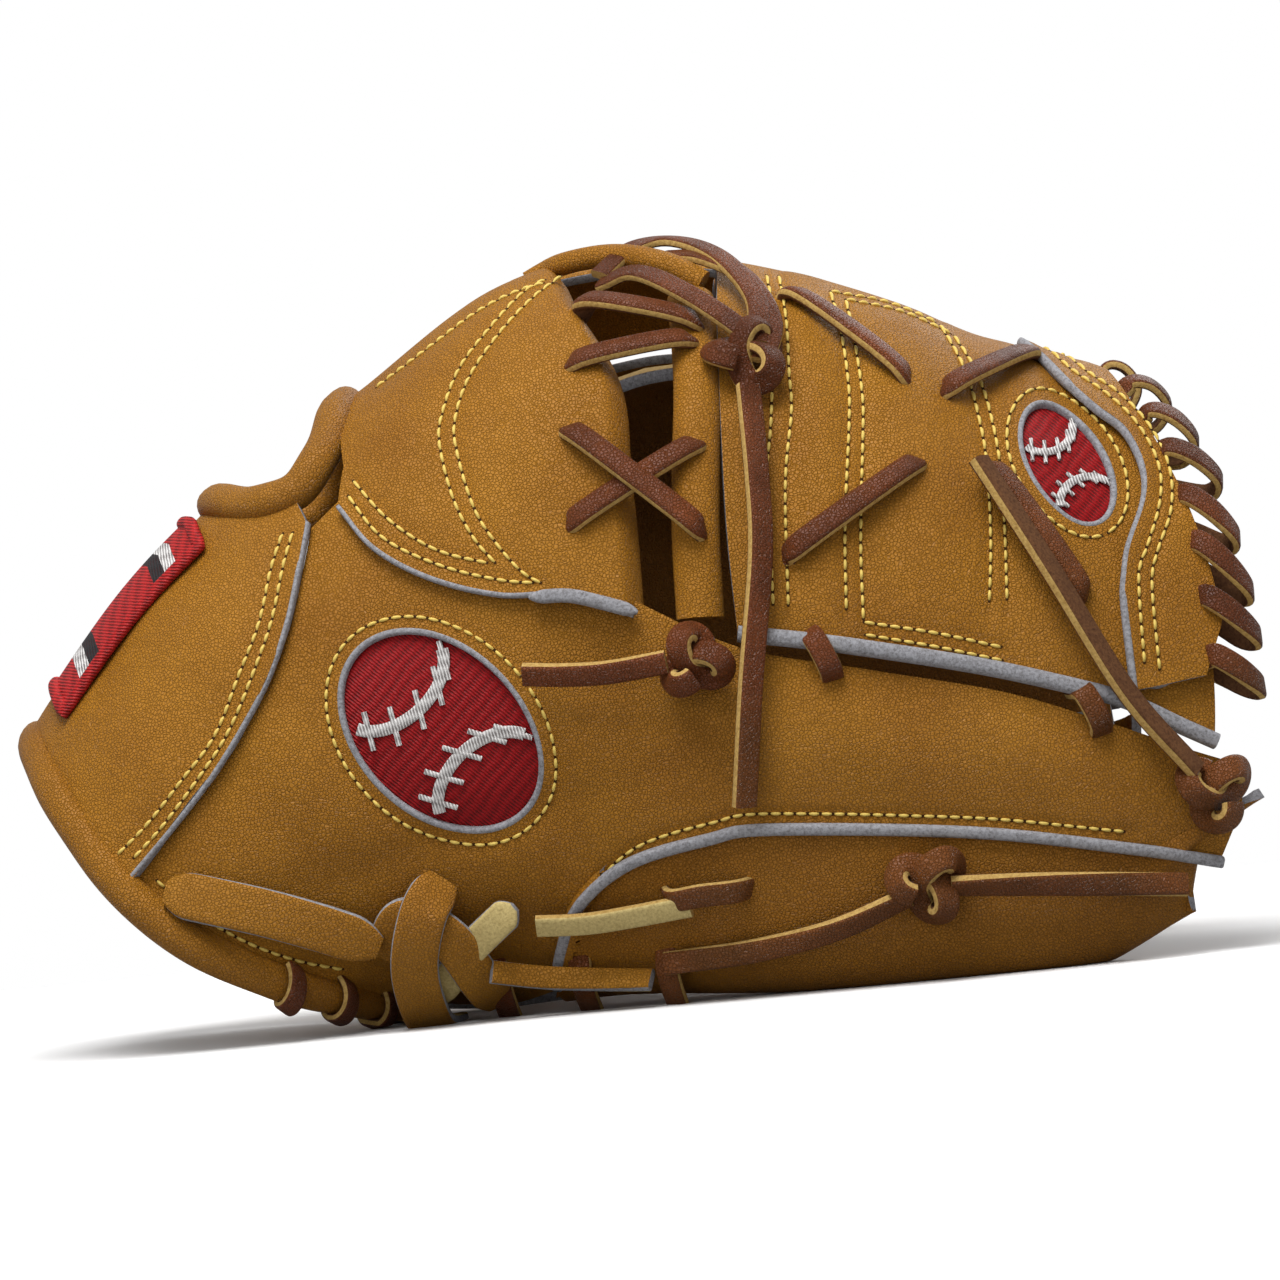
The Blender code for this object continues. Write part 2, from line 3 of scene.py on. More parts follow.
import bmesh
import bpy
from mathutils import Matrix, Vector


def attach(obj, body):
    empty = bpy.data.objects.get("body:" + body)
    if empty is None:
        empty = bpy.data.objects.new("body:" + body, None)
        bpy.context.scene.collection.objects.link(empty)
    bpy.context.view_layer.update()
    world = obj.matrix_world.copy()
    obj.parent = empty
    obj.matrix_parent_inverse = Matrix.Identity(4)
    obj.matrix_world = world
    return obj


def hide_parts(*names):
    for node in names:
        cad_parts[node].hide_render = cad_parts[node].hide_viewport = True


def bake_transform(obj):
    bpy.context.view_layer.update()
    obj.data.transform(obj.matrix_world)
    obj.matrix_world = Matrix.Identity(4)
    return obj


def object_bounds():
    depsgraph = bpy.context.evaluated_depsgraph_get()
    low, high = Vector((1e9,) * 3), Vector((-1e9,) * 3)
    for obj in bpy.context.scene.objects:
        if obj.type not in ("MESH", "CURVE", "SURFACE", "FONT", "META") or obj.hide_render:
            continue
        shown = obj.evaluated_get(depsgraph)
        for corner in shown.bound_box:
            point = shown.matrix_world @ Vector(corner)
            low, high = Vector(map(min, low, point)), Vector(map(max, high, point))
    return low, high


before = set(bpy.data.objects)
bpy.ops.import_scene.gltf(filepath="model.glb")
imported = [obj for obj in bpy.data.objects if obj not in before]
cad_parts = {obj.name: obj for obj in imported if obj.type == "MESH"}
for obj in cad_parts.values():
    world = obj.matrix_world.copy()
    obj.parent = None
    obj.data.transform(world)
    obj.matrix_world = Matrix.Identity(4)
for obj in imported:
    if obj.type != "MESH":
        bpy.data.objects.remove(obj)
cad_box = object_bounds()
home = bpy.data.collections.new("glove_looks")
bpy.context.scene.collection.children.link(home)

# ---------------------------------------------------------------------------
# The studio. A plain pale floor, a wide soft light overhead and a weaker one
# in front. The camera looks at the thumb side through a long lens.
MM = 0.001
low, high = (Vector(corner) for corner in cad_box)
middle = (low + high) / 2
CAMERA_DISTANCE = 1.6
VIEW_WIDTH = 0.3098
VIEW_PLANE = -0.03
ROLL = math.radians(5.8)
lens = bpy.data.cameras.new("camera")
lens.sensor_width = 36
lens.lens = 36 * (CAMERA_DISTANCE + VIEW_PLANE) / VIEW_WIDTH
lens.clip_start = 0.05
camera = bpy.data.objects.new("camera", lens)
camera.location = (0.001, -CAMERA_DISTANCE, 0.088)
camera.rotation_euler = (math.radians(90), ROLL, 0)
bpy.context.scene.collection.objects.link(camera)
bpy.context.scene.camera = camera
bpy.context.scene.view_settings.view_transform = "Standard"



def bright_to_the_eye(tree, for_light, socket):
    """Plain white as the camera sees it, dimmer for the light it gives."""
    path = tree.nodes.new("ShaderNodeLightPath")
    made = tree.nodes.new("ShaderNodeMapRange")
    made.inputs["To Min"].default_value = for_light
    made.inputs["To Max"].default_value = 1.0
    tree.links.new(path.outputs["Is Camera Ray"], made.inputs["Value"])
    tree.links.new(made.outputs["Result"], socket)


sky = bpy.data.worlds.new("studio")
sky.use_nodes = True
backdrop = sky.node_tree.nodes["Background"]
backdrop.inputs["Color"].default_value = (1, 1, 1, 1)
bright_to_the_eye(sky.node_tree, 0.40, backdrop.inputs["Strength"])
bpy.context.scene.world = sky


def soft_light(name, spot, size, watts):
    lamp = bpy.data.lights.new(name, "AREA")
    lamp.shape = "SQUARE"
    lamp.size = size
    lamp.energy = watts
    made = bpy.data.objects.new(name, lamp)
    made.location = spot
    made.rotation_euler = (middle - Vector(spot)).to_track_quat("-Z", "Y").to_euler()
    bpy.context.scene.collection.objects.link(made)


soft_light("overhead", (-0.15, -0.5, 1.2), 0.7, 16)
soft_light("front", (-0.6, -1.3, 0.75), 0.9, 3.6)
soft_light("behind", (0.6, 0.9, 0.9), 0.8, 5)

FLOOR_HALF_WIDTH = 1.5
FLOOR_HALF_DEPTH = 1.1
FLOOR_FORWARD = 0.7
floor_mesh = bpy.data.meshes.new("floor")
bm = bmesh.new()
bmesh.ops.create_grid(bm, x_segments=1, y_segments=1, size=1)
for vert in bm.verts:
    vert.co.x *= FLOOR_HALF_WIDTH
    vert.co.y = vert.co.y * FLOOR_HALF_DEPTH - FLOOR_FORWARD
bm.to_mesh(floor_mesh)
bm.free()
floor = bpy.data.objects.new("floor", floor_mesh)
bpy.context.scene.collection.objects.link(floor)
floor_paint = bpy.data.materials.new("floor_paint")
floor_paint.use_nodes = True
floor_shader = floor_paint.node_tree.nodes["Principled BSDF"]
floor_shader.inputs["Roughness"].default_value = 0.9
floor_shader.inputs["Specular IOR Level"].default_value = 0.0
bright_to_the_eye(floor_paint.node_tree, 0.35, floor_shader.inputs["Base Color"])
floor_mesh.materials.append(floor_paint)

# ---------------------------------------------------------------------------
# The last. A glove is shaped on a heated metal hand, and this is the same
# form that the solid parts were drawn on: s runs from wrist to fingertips,
# u from the ridge down the thumb side (+) or down the finger side (-).
SHIFT = Vector((-1.85, 4.1, 0))
LAST = [
    (0.00, -147, 82, -64, 3.0, 50, 178, -14),
    (0.12, -122, 111, -48, 0.8, 54, 172, -8),
    (0.22, -100, 130, -36, -0.6, 57, 166, -3),
    (0.32, -80, 143, -22, -0.6, 60, 158, 0),
    (0.42, -60, 155, -8, -0.6, 63, 150, 0),
    (0.52, -24, 177, 12, -0.6, 67, 138, 0),
    (0.64, 15, 183, 40, -0.6, 70, 128, 0),
    (0.76, 58, 172, 72, -0.6, 69, 120, 1),
    (0.88, 95, 154, 104, 1.0, 65, 114, 6),
    (1.00, 122, 141, 131, 14, 58, 110, 13),
]


def eased(rows, t):
    """Smooth values between a table's rows, whose first column is t."""
    last = len(rows) - 1
    i = 0
    while i < last - 1 and t > rows[i + 1][0]:
        i += 1
    a, b = rows[i], rows[i + 1]
    before, after = rows[max(i - 1, 0)], rows[min(i + 2, last)]
    span = b[0] - a[0]
    k = min(max((t - a[0]) / span, -0.5), 1.5)
    out = []
    for n in range(1, len(a)):
        m0 = (b[n] - before[n]) / (b[0] - before[0]) * span
        m1 = (after[n] - a[n]) / (after[0] - a[0]) * span
        h = (2 * k**3 - 3 * k**2 + 1) * a[n] + (k**3 - 2 * k**2 + k) * m0
        out.append(h + (3 * k**2 - 2 * k**3) * b[n] + (k**3 - k**2) * m1)
    return out


def form(s, u):
    tx, tz, bx, bz, width, arc, bulge = eased(LAST, s)
    angle = math.radians(arc)
    f = (1 - math.cos(u * angle)) / (1 - math.cos(angle))
    length = math.hypot(bx - tx, bz - tz)
    swell = bulge * math.sin(math.pi * min(f, 1))
    x = tx + (bx - tx) * f - swell * (bz - tz) / length
    z = tz + (bz - tz) * f + swell * (bx - tx) / length
    return Vector((x, -width * math.sin(u * angle), z))


def outward(s, u):
    step = 0.004
    along = form(s + step, u) - form(s - step, u)
    across = form(s, u + step) - form(s, u - step)
    normal = along.cross(across).normalized()
    tx, tz, bx, bz, *_ = eased(LAST, s)
    if normal.dot(form(s, u) - Vector(((tx + bx) / 2, 0, (tz + bz) / 2))) < 0:
        normal = -normal
    return normal


def skin(s, u, depth=0.0):
    """A point of the glove in mm, depth below its outer face."""
    return form(s, u) - outward(s, u) * depth + SHIFT


def locate(x, z):
    """The s and u of the thumb-side point that lies at x, z."""
    low_s, high_s = -0.04, 1.12
    for _ in range(30):
        s = (low_s + high_s) / 2
        tx, tz, bx, bz, width, arc, bulge = eased(LAST, s)
        length = math.hypot(bx - tx, bz - tz)
        ax, az = (bx - tx) / length, (bz - tz) / length
        f = min(max(((x - tx) * ax + (z - tz) * az) / length, 0), 1)
        side = (x - tx) * -az + (z - tz) * ax - bulge * math.sin(math.pi * f)
        if side > 0:
            low_s = s
        else:
            high_s = s
    angle = math.radians(arc)
    return s, math.acos(min(max(1 - f * (1 - math.cos(angle)), -1), 1)) / angle


def seen(points):
    return [locate(x, z) for x, z in points]


def along(points, t):
    """The form point a fraction t of the way along a line of form points."""
    spots = [form(*p) for p in points]
    steps = [(b - a).length for a, b in zip(spots, spots[1:])]
    left = t * sum(steps)
    for i, step in enumerate(steps):
        if left <= step or i == len(steps) - 1:
            k = left / step
            a, b = points[i], points[i + 1]
            return a[0] + (b[0] - a[0]) * k, a[1] + (b[1] - a[1]) * k
        left -= step


def curved(points, count=40):
    """The same outline with its corners rounded into one smooth line."""
    rows = [(i, *p) for i, p in enumerate(points)]
    return [tuple(eased(rows, (len(points) - 1) * n / count)) for n in range(count + 1)]


def cornered(first, second, corner):
    def place(t):
        if t <= corner:
            return along(first, t / corner)
        return along(second, (t - corner) / (1 - corner))

    return place


def coons(left, right, top, bottom):
    """A map of the unit square onto the leather within four edges."""
    edges = []
    for edge in (left, right, top, bottom):
        if callable(edge):
            steps = [edge(n / 120) for n in range(121)]
        else:
            steps = [along(edge, n / 120) for n in range(121)]
        edges.append(steps)

    def read(edge, t):
        n = min(int(t * 120), 119)
        k = t * 120 - n
        return [edge[n][i] + (edge[n + 1][i] - edge[n][i]) * k for i in (0, 1)]

    def place(a, b):
        le, ri, hi, lo = read(edges[0], b), read(edges[1], b), read(edges[2], a), read(edges[3], a)
        ends = [edges[3][0], edges[3][-1], edges[2][0], edges[2][-1]]
        out = []
        for n in (0, 1):
            ruled = (1 - b) * lo[n] + b * hi[n] + (1 - a) * le[n] + a * ri[n]
            corner = (1 - a) * ((1 - b) * ends[0][n] + b * ends[2][n])
            corner += a * ((1 - b) * ends[1][n] + b * ends[3][n])
            out.append(ruled - corner)
        return out

    return place


# ---------------------------------------------------------------------------
# The hide. Full-grain steer hide tanned golden brown: a fine pebbled grain,
# cloudy colour, and painted shade that darkens its hollows and creases. Cut
# edges show the grey core, and the flesh side is pale and fuzzy.
def group_sockets(group, inputs, outputs):
    for label, kind, value in inputs:
        made = group.interface.new_socket(label, in_out="INPUT", socket_type=kind)
        made.default_value = value
    for label, kind in outputs:
        group.interface.new_socket(label, in_out="OUTPUT", socket_type=kind)
    return group.nodes.new("NodeGroupInput"), group.nodes.new("NodeGroupOutput")


def noise_node(tree, source, scale, detail=4.0, rough=0.55):
    made = tree.nodes.new("ShaderNodeTexNoise")
    made.inputs["Scale"].default_value = scale
    made.inputs["Detail"].default_value = detail
    made.inputs["Roughness"].default_value = rough
    tree.links.new(source, made.inputs["Vector"])
    return made.outputs["Fac"]


def spread(tree, value, from_low, from_high, to_low=0.0, to_high=1.0):
    made = tree.nodes.new("ShaderNodeMapRange")
    tree.links.new(value, made.inputs["Value"])
    made.inputs["From Min"].default_value = from_low
    made.inputs["From Max"].default_value = from_high
    made.inputs["To Min"].default_value = to_low
    made.inputs["To Max"].default_value = to_high
    return made.outputs["Result"]


def blend_colour(tree, factor, first, second, mode="MIX"):
    made = tree.nodes.new("ShaderNodeMix")
    made.data_type = "RGBA"
    made.blend_type = mode
    for value, socket in ((factor, made.inputs["Factor"]), (first, made.inputs[6]), (second, made.inputs[7])):
        if isinstance(value, (int, float)):
            socket.default_value = value
        elif isinstance(value, tuple):
            socket.default_value = (*value, 1)
        else:
            tree.links.new(value, socket)
    return made.outputs[2]


def maths(tree, operation, first, second):
    made = tree.nodes.new("ShaderNodeMath")
    made.operation = operation
    for value, socket in zip((first, second), made.inputs):
        if isinstance(value, (int, float)):
            socket.default_value = value
        else:
            tree.links.new(value, socket)
    return made.outputs[0]


hide_grain = bpy.data.node_groups.new("hide_grain", "ShaderNodeTree")
hide_in, hide_out = group_sockets(
    hide_grain,
    [("Colour", "NodeSocketColor", (0.5, 0.24, 0.04, 1)), ("Shade", "NodeSocketColor", (0.3, 0.12, 0.02, 1)),
     ("Cloud", "NodeSocketFloat", 0.5), ("Gloss", "NodeSocketFloat", 0.45)],
    [("Colour", "NodeSocketColor"), ("Roughness", "NodeSocketFloat"), ("Height", "NodeSocketFloat")],
)
place_in = hide_grain.nodes.new("ShaderNodeTexCoord").outputs["Object"]
cloud = noise_node(hide_grain, place_in, 26, 5, 0.6)
patchy = noise_node(hide_grain, place_in, 9, 2, 0.5)
pebble = hide_grain.nodes.new("ShaderNodeTexVoronoi")
pebble.feature = "DISTANCE_TO_EDGE"
pebble.inputs["Scale"].default_value = 1250
hide_grain.links.new(place_in, pebble.inputs["Vector"])
pores = spread(hide_grain, pebble.outputs["Distance"], 0.0, 0.16)
fine = noise_node(hide_grain, place_in, 2600, 3, 0.6)
creases = noise_node(hide_grain, place_in, 160, 6, 0.7)
fog = maths(hide_grain, "MULTIPLY", spread(hide_grain, cloud, 0.35, 0.72), hide_in.outputs["Cloud"])
tone = blend_colour(hide_grain, fog, hide_in.outputs["Colour"], hide_in.outputs["Shade"])
tone = blend_colour(hide_grain, spread(hide_grain, patchy, 0.52, 0.75, 0, 0.18), tone, (0.55, 0.26, 0.04))
# Painted shade: the hide is darkened where its surface is hollow (low pointiness), in creases and dips.
hollow_shade = hide_grain.nodes.new("ShaderNodeNewGeometry").outputs["Pointiness"]
tone = blend_colour(hide_grain, spread(hide_grain, hollow_shade, 0.5, 0.44, 0, 0.45), tone, (0.16, 0.07, 0.015))
tone = blend_colour(hide_grain, spread(hide_grain, pores, 0.5, 0.0, 0, 0.35), tone, (0.12, 0.05, 0.01))
hide_grain.links.new(tone, hide_out.inputs["Colour"])
shine = maths(hide_grain, "ADD", hide_in.outputs["Gloss"], spread(hide_grain, creases, 0.3, 0.8, -0.07, 0.12))
hide_grain.links.new(shine, hide_out.inputs["Roughness"])
height = maths(hide_grain, "ADD", maths(hide_grain, "MULTIPLY", pores, 0.5),
               maths(hide_grain, "MULTIPLY", fine, 0.3))
height = maths(hide_grain, "ADD", height, maths(hide_grain, "MULTIPLY", creases, 1.1))
hide_grain.links.new(height, hide_out.inputs["Height"])


def finish(name, rough, specular):
    """A new material with its node tree and its shader."""
    made = bpy.data.materials.new(name)
    made.use_nodes = True
    shader = made.node_tree.nodes["Principled BSDF"]
    shader.inputs["Roughness"].default_value = rough
    shader.inputs["Specular IOR Level"].default_value = specular
    return made, made.node_tree, shader


def lay_grain(tree, shader, group, values, bump, depth):
    """Colours the shader from a grain group and raises its height as a bump."""
    grain = tree.nodes.new("ShaderNodeGroup")
    grain.node_tree = group
    for socket, value in values.items():
        grain.inputs[socket].default_value = (*value, 1) if isinstance(value, tuple) else value
    raised = tree.nodes.new("ShaderNodeBump")
    raised.inputs["Strength"].default_value = bump
    raised.inputs["Distance"].default_value = depth
    tree.links.new(grain.outputs["Colour"], shader.inputs["Base Color"])
    tree.links.new(grain.outputs["Height"], raised.inputs["Height"])
    tree.links.new(raised.outputs["Normal"], shader.inputs["Normal"])
    return grain


def hide(name, colour, shade, cloud_amount=0.7, gloss=0.5):
    made, tree, shader = finish(name, gloss, 0.26)
    values = {"Colour": colour, "Shade": shade, "Cloud": cloud_amount, "Gloss": gloss}
    grain = lay_grain(tree, shader, hide_grain, values, 0.9, 0.0006)
    tree.links.new(grain.outputs["Roughness"], shader.inputs["Roughness"])
    return made


raw_fibre = bpy.data.node_groups.new("raw_fibre", "ShaderNodeTree")
fibre_in, fibre_out = group_sockets(
    raw_fibre,
    [("Colour", "NodeSocketColor", (0.3, 0.3, 0.33, 1)), ("Fleck", "NodeSocketColor", (0.1, 0.1, 0.12, 1))],
    [("Colour", "NodeSocketColor"), ("Height", "NodeSocketFloat")],
)
fibre_place = raw_fibre.nodes.new("ShaderNodeTexCoord").outputs["Object"]
fluff = noise_node(raw_fibre, fibre_place, 1300, 5, 0.75)
blotch = noise_node(raw_fibre, fibre_place, 240, 3, 0.6)
ragged = blend_colour(raw_fibre, spread(raw_fibre, fluff, 0.42, 0.7), fibre_in.outputs["Colour"],
                      fibre_in.outputs["Fleck"])
ragged = blend_colour(raw_fibre, spread(raw_fibre, blotch, 0.5, 0.8, 0, 0.4), ragged,
                      fibre_in.outputs["Fleck"])
raw_fibre.links.new(ragged, fibre_out.inputs["Colour"])
raw_fibre.links.new(fluff, fibre_out.inputs["Height"])


def raw(name, colour, fleck, bump=0.7):
    made, tree, shader = finish(name, 0.92, 0.2)
    lay_grain(tree, shader, raw_fibre, {"Colour": colour, "Fleck": fleck}, bump, 0.0004)
    return made


shell_hide = hide("shell_hide", (0.43, 0.182, 0.011), (0.27, 0.098, 0.004))
palm_hide = hide("palm_hide", (0.36, 0.145, 0.018), (0.22, 0.08, 0.007))
binding_hide = hide("binding_hide", (0.40, 0.165, 0.011), (0.24, 0.088, 0.004), gloss=0.42)
cut_edge = raw("cut_edge", (0.36, 0.36, 0.385), (0.13, 0.12, 0.12))


def follow(obj, how):
    """Lets a piece move with the hand or the thumb; side and fork pieces are baked in place."""
    if how == "side":
        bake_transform(obj)
    elif how == "fork":
        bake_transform(obj)
    else:
        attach(obj, how)


def finish_mesh(bm, name, materials, how, replaced=()):
    mesh = bpy.data.meshes.new(name)
    bm.to_mesh(mesh)
    bm.free()
    mesh.shade_smooth()
    made = bpy.data.objects.new(name, mesh)
    home.objects.link(made)
    for paint in materials:
        mesh.materials.append(paint)
    follow(made, how)
    if replaced:
        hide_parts(*replaced)
    return made


def leather(name, point, columns, rows, how, replaced=(), thickness=2.6, materials=None,
            sense=None, windows=()):
    """A cut panel: point gives the good side over the unit square, in mm."""
    bm = bmesh.new()
    bmesh.ops.create_grid(bm, x_segments=columns, y_segments=rows, size=0.5)
    for vert in bm.verts:
        vert.co = point(vert.co.x + 0.5, vert.co.y + 0.5) * MM
    bm.normal_update()
    out = sense or (lambda spot: Vector((0.15 * spot.x, spot.y, 0.6 * (spot.z - 0.06))))
    if sum(f.normal.dot(out(f.calc_center_median())) for f in bm.faces) < 0:
        bmesh.ops.reverse_faces(bm, faces=bm.faces)
    for spec, place in windows:
        with_window(bm, spec, place)
    made = finish_mesh(bm, name, materials or [shell_hide, cut_edge], how, replaced)
    wall = made.modifiers.new("Thickness", "SOLIDIFY")
    wall.thickness = thickness * MM
    wall.offset = -1
    wall.material_offset_rim = 1
    soften = made.modifiers.new("Soft edge", "BEVEL")
    soften.width = 0.0004
    soften.segments = 2
    soften.limit_method = "ANGLE"
    soften.angle_limit = math.radians(55)
    return made


# ---------------------------------------------------------------------------
# The thumb. One shell panel runs from the wrist seam to the thumb tip and a
# second one, in a darker copy of the hide as painted shade, wraps under the
# edge to the pocket side. A folded grey welt is sewn between them.
STRAP_SEAM = [(-74, 124), (-77, 113), (-81, 100), (-87, 87), (-95, 75), (-103, 65), (-113, 54.5), (-125, 43)]
CROTCH_LOW = [(-66, 127), (-58, 116), (-45, 107.5), (-29, 102), (-13, 100.5), (2, 94)]
THUMB_HIGH = [(2, 95), (26, 84), (55, 76), (88, 67), (108, 59), (128, 50), (140, 45)]
WELT_LINE = [(-26, 4), (-24, 14), (-18, 26), (-5, 35), (14, 39), (29, 40), (77, 34.5), (115, 26.5), (136, 21)]
HEEL_LINE = [(-64, 4), (-50, 1.5), (-38, 0.8), (-27, 2)]
WRIST_EDGE = [(-125, 43), (-110, 29), (-94, 17), (-77, 8), (-64, 4)]
TIP_EDGE = [(140, 45), (143, 40), (142, 33), (137, 22)]

seam = seen(curved(STRAP_SEAM))
wrist = [(0.006, u) for s, u in seen(WRIST_EDGE)]
over_crotch = [(x - 1, z + 6) for x, z in CROTCH_LOW[:-1]] + [(0, 99)]
thumb_top = seen(curved(over_crotch + THUMB_HIGH[1:], 60))
welt = seen(curved(WELT_LINE, 60))
heel = seen(HEEL_LINE)
thumb_left = list(reversed(seam))
thumb_left[0] = wrist[0]
heel[-1] = welt[0]
thumb_top[0] = thumb_left[-1]
thumb_tip = seen(list(reversed(TIP_EDGE)))
thumb_tip[0], thumb_tip[-1] = welt[-1], thumb_top[-1]
thumb_area = coons(thumb_left, thumb_tip, thumb_top, cornered(wrist + heel[1:], welt, 0.36))


PATCH = (-47, 71, 28.4, 19.9, -52)


def oval(spec, grow, count=48):
    """The outline of an oval (centre, half axes, tilt), grown by a margin in mm."""
    cx, cz, long, short, tilt = spec
    tilt = math.radians(tilt)
    out = []
    for n in range(count + 1):
        t = 2 * math.pi * n / count
        dx, dz = (long + grow) * math.cos(t), (short + grow) * math.sin(t)
        out.append((cx + dx * math.cos(tilt) - dz * math.sin(tilt),
                    cz + dx * math.sin(tilt) + dz * math.cos(tilt)))
    return out


def within(spec, x, z):
    """Below 1 inside an oval and above 1 outside it."""
    cx, cz, long, short, tilt = spec
    tilt = math.radians(tilt)
    dx, dz = x - cx, z - cz
    a = (dx * math.cos(tilt) + dz * math.sin(tilt)) / long
    b = (-dx * math.sin(tilt) + dz * math.cos(tilt)) / short
    return math.hypot(a, b)


def dent(x, z, lines, width=1.7, amount=0.5):
    """How far rows of stitches pull the leather in at x, z."""
    near = 99.0
    for line in lines:
        for (ax, az), (bx, bz) in zip(line, line[1:]):
            if min(abs(x - ax), abs(z - az)) < 12 or min(abs(x - bx), abs(z - bz)) < 12:
                dx, dz = bx - ax, bz - az
                k = min(max(((x - ax) * dx + (z - az) * dz) / (dx * dx + dz * dz), 0), 1)
                near = min(near, math.hypot(x - ax - k * dx, z - az - k * dz))
    return amount * math.exp(-((near / width) ** 2))


PATCH_RING = oval(PATCH, 3.4)
WRIST_ROW = curved([(-119, 42.5), (-110, 33.5), (-99, 25), (-87, 18.5), (-76, 14.5)], 20)
WELT_ROW = curved([(-22, 8), (-20, 17), (-14.5, 29), (-3, 38.5), (15, 42.5), (29, 43.5), (77, 38),
                   (115, 30.5)], 40)


def thumb_depth(x, z):
    """Depth of the thumb's outer face, with its stuffed stall, dents and folds."""
    stall = 2.6 * math.exp(-(((x - 66) / 62) ** 2) - (((z - 57 + (x - 60) * 0.18) / 15) ** 2))
    fold = 1.5 * math.exp(-(((x - 8 + (z - 70) * 0.8) / 9) ** 2) - ((z - 68) / 30) ** 2)
    fold += 1.0 * math.exp(-(((z - 46 - (x + 40) * 0.22) / 6) ** 2) - ((x + 45) / 46) ** 2)
    ripple = 0.4 * math.sin(x * 0.19 + z * 0.12) * math.exp(-(((z - 62) / 30) ** 2))
    sewn = dent(x, z, [PATCH_RING, WRIST_ROW, WELT_ROW])
    return 1.9 + fold - stall + ripple + sewn


WINDOW_RAGGED = (0.6, 1.25)


def with_window(bm, spec, place):
    """Cuts an oval window in a panel, leaving its cut edge on the oval."""
    spots = {}
    for vert in bm.verts:
        x, z = vert.co.x / MM, vert.co.z / MM
        spots[vert] = within(spec, x - SHIFT.x, z)
    gone = [f for f in bm.faces if sum(spots[v] for v in f.verts) / len(f.verts) < 1]
    bmesh.ops.delete(bm, geom=gone, context="FACES")
    for vert in bm.verts:
        if vert.is_boundary and WINDOW_RAGGED[0] < spots[vert] < WINDOW_RAGGED[1]:
            x, z = vert.co.x / MM - SHIFT.x, vert.co.z / MM
            x = spec[0] + (x - spec[0]) / spots[vert]
            z = spec[1] + (z - spec[1]) / spots[vert]
            vert.co = place(x, z)[0] * MM


def place_thumb(x, z):
    s, u = locate(x, z)
    return skin(s, u, thumb_depth(x, z)), outward(s, u)


def thumb_point(a, b):
    s, u = thumb_area(a, b)
    spot = form(s, u)
    edge = 1.0 * math.exp(-((b / 0.035) ** 2)) if a > 0.42 else 0.0
    return skin(s, u, thumb_depth(spot.x, spot.z) + edge)


leather("thumb_back_leather", thumb_point, 190, 90, "side", ["thumb_back"], windows=[(PATCH, place_thumb)])

EDGE = 0.93
REACH = 0.097
ROUND_FROM = 0.3
ROUND_TO = 0.7
steep = [(welt[0][0] + 0.002, EDGE)] + welt[1:18]
ahead = welt[17:]
tip_u = min(ahead[-1][1], 0.9)
lower_tip = [(0.995, EDGE), (1.03, (EDGE + tip_u) / 2), (ahead[-1][0] + 0.035, tip_u)]
ahead[-1] = lower_tip[-1]
ahead = [(s, min(u, 0.9)) for s, u in ahead]
lower_area = coons(steep, lower_tip, ahead, [steep[0], lower_tip[0]])


def stall_edge(area, side, inner_low, inner_gain):
    """Down the outside, round the padded edge and up the pocket side."""

    def point(a, b):
        s = area(a, 0)[0]
        thick = 25 - 17 * max(0, (s - 0.8) / 0.2) ** 2 - 10 * max(0, (0.42 - s) / 0.14) ** 2
        top = inner_low + inner_gain * max(0, (s - 0.7) / 0.25) ** 1.5
        if b < ROUND_FROM:
            s, u = area(a, 1 - b / ROUND_FROM)
            depth = 1.4 - 1.2 * math.sin(math.pi * b / 2 / ROUND_FROM)
        elif b < ROUND_TO:
            turn = math.pi * (b - ROUND_FROM) / (ROUND_TO - ROUND_FROM)
            u, depth = EDGE + REACH * math.sin(turn), 0.2 + (thick - 0.2) * (1 - math.cos(turn)) / 2
        else:
            u, depth = EDGE + (top - EDGE) * (b - ROUND_TO) / (1 - ROUND_TO), thick
        closing = max(0, (a - 0.93) / 0.07)
        depth += (thick / 2 - depth) * (1 - math.sqrt(max(1 - closing * closing, 0)))
        return skin(s, side * u, depth)

    return point


def grounded(point):
    def on_floor(a, b):
        spot = point(a, b)
        spot.z = max(spot.z, 0.15)
        return spot

    return on_floor


def outer_wall(spot):
    return Vector((0, spot.y if abs(spot.y) > 0.05 else 0, 0))


# Painted shade: the shell hide made darker for the thumb's lower, downward-facing panel.
shaded_lower_hide = hide("shaded_lower_hide", (0.37, 0.148, 0.008), (0.23, 0.08, 0.003))
leather("thumb_front_leather", grounded(stall_edge(lower_area, 1, 0.66, 0.13)), 110, 70, "side",
        ["thumb_front"], materials=[shaded_lower_hide, cut_edge], sense=outer_wall)


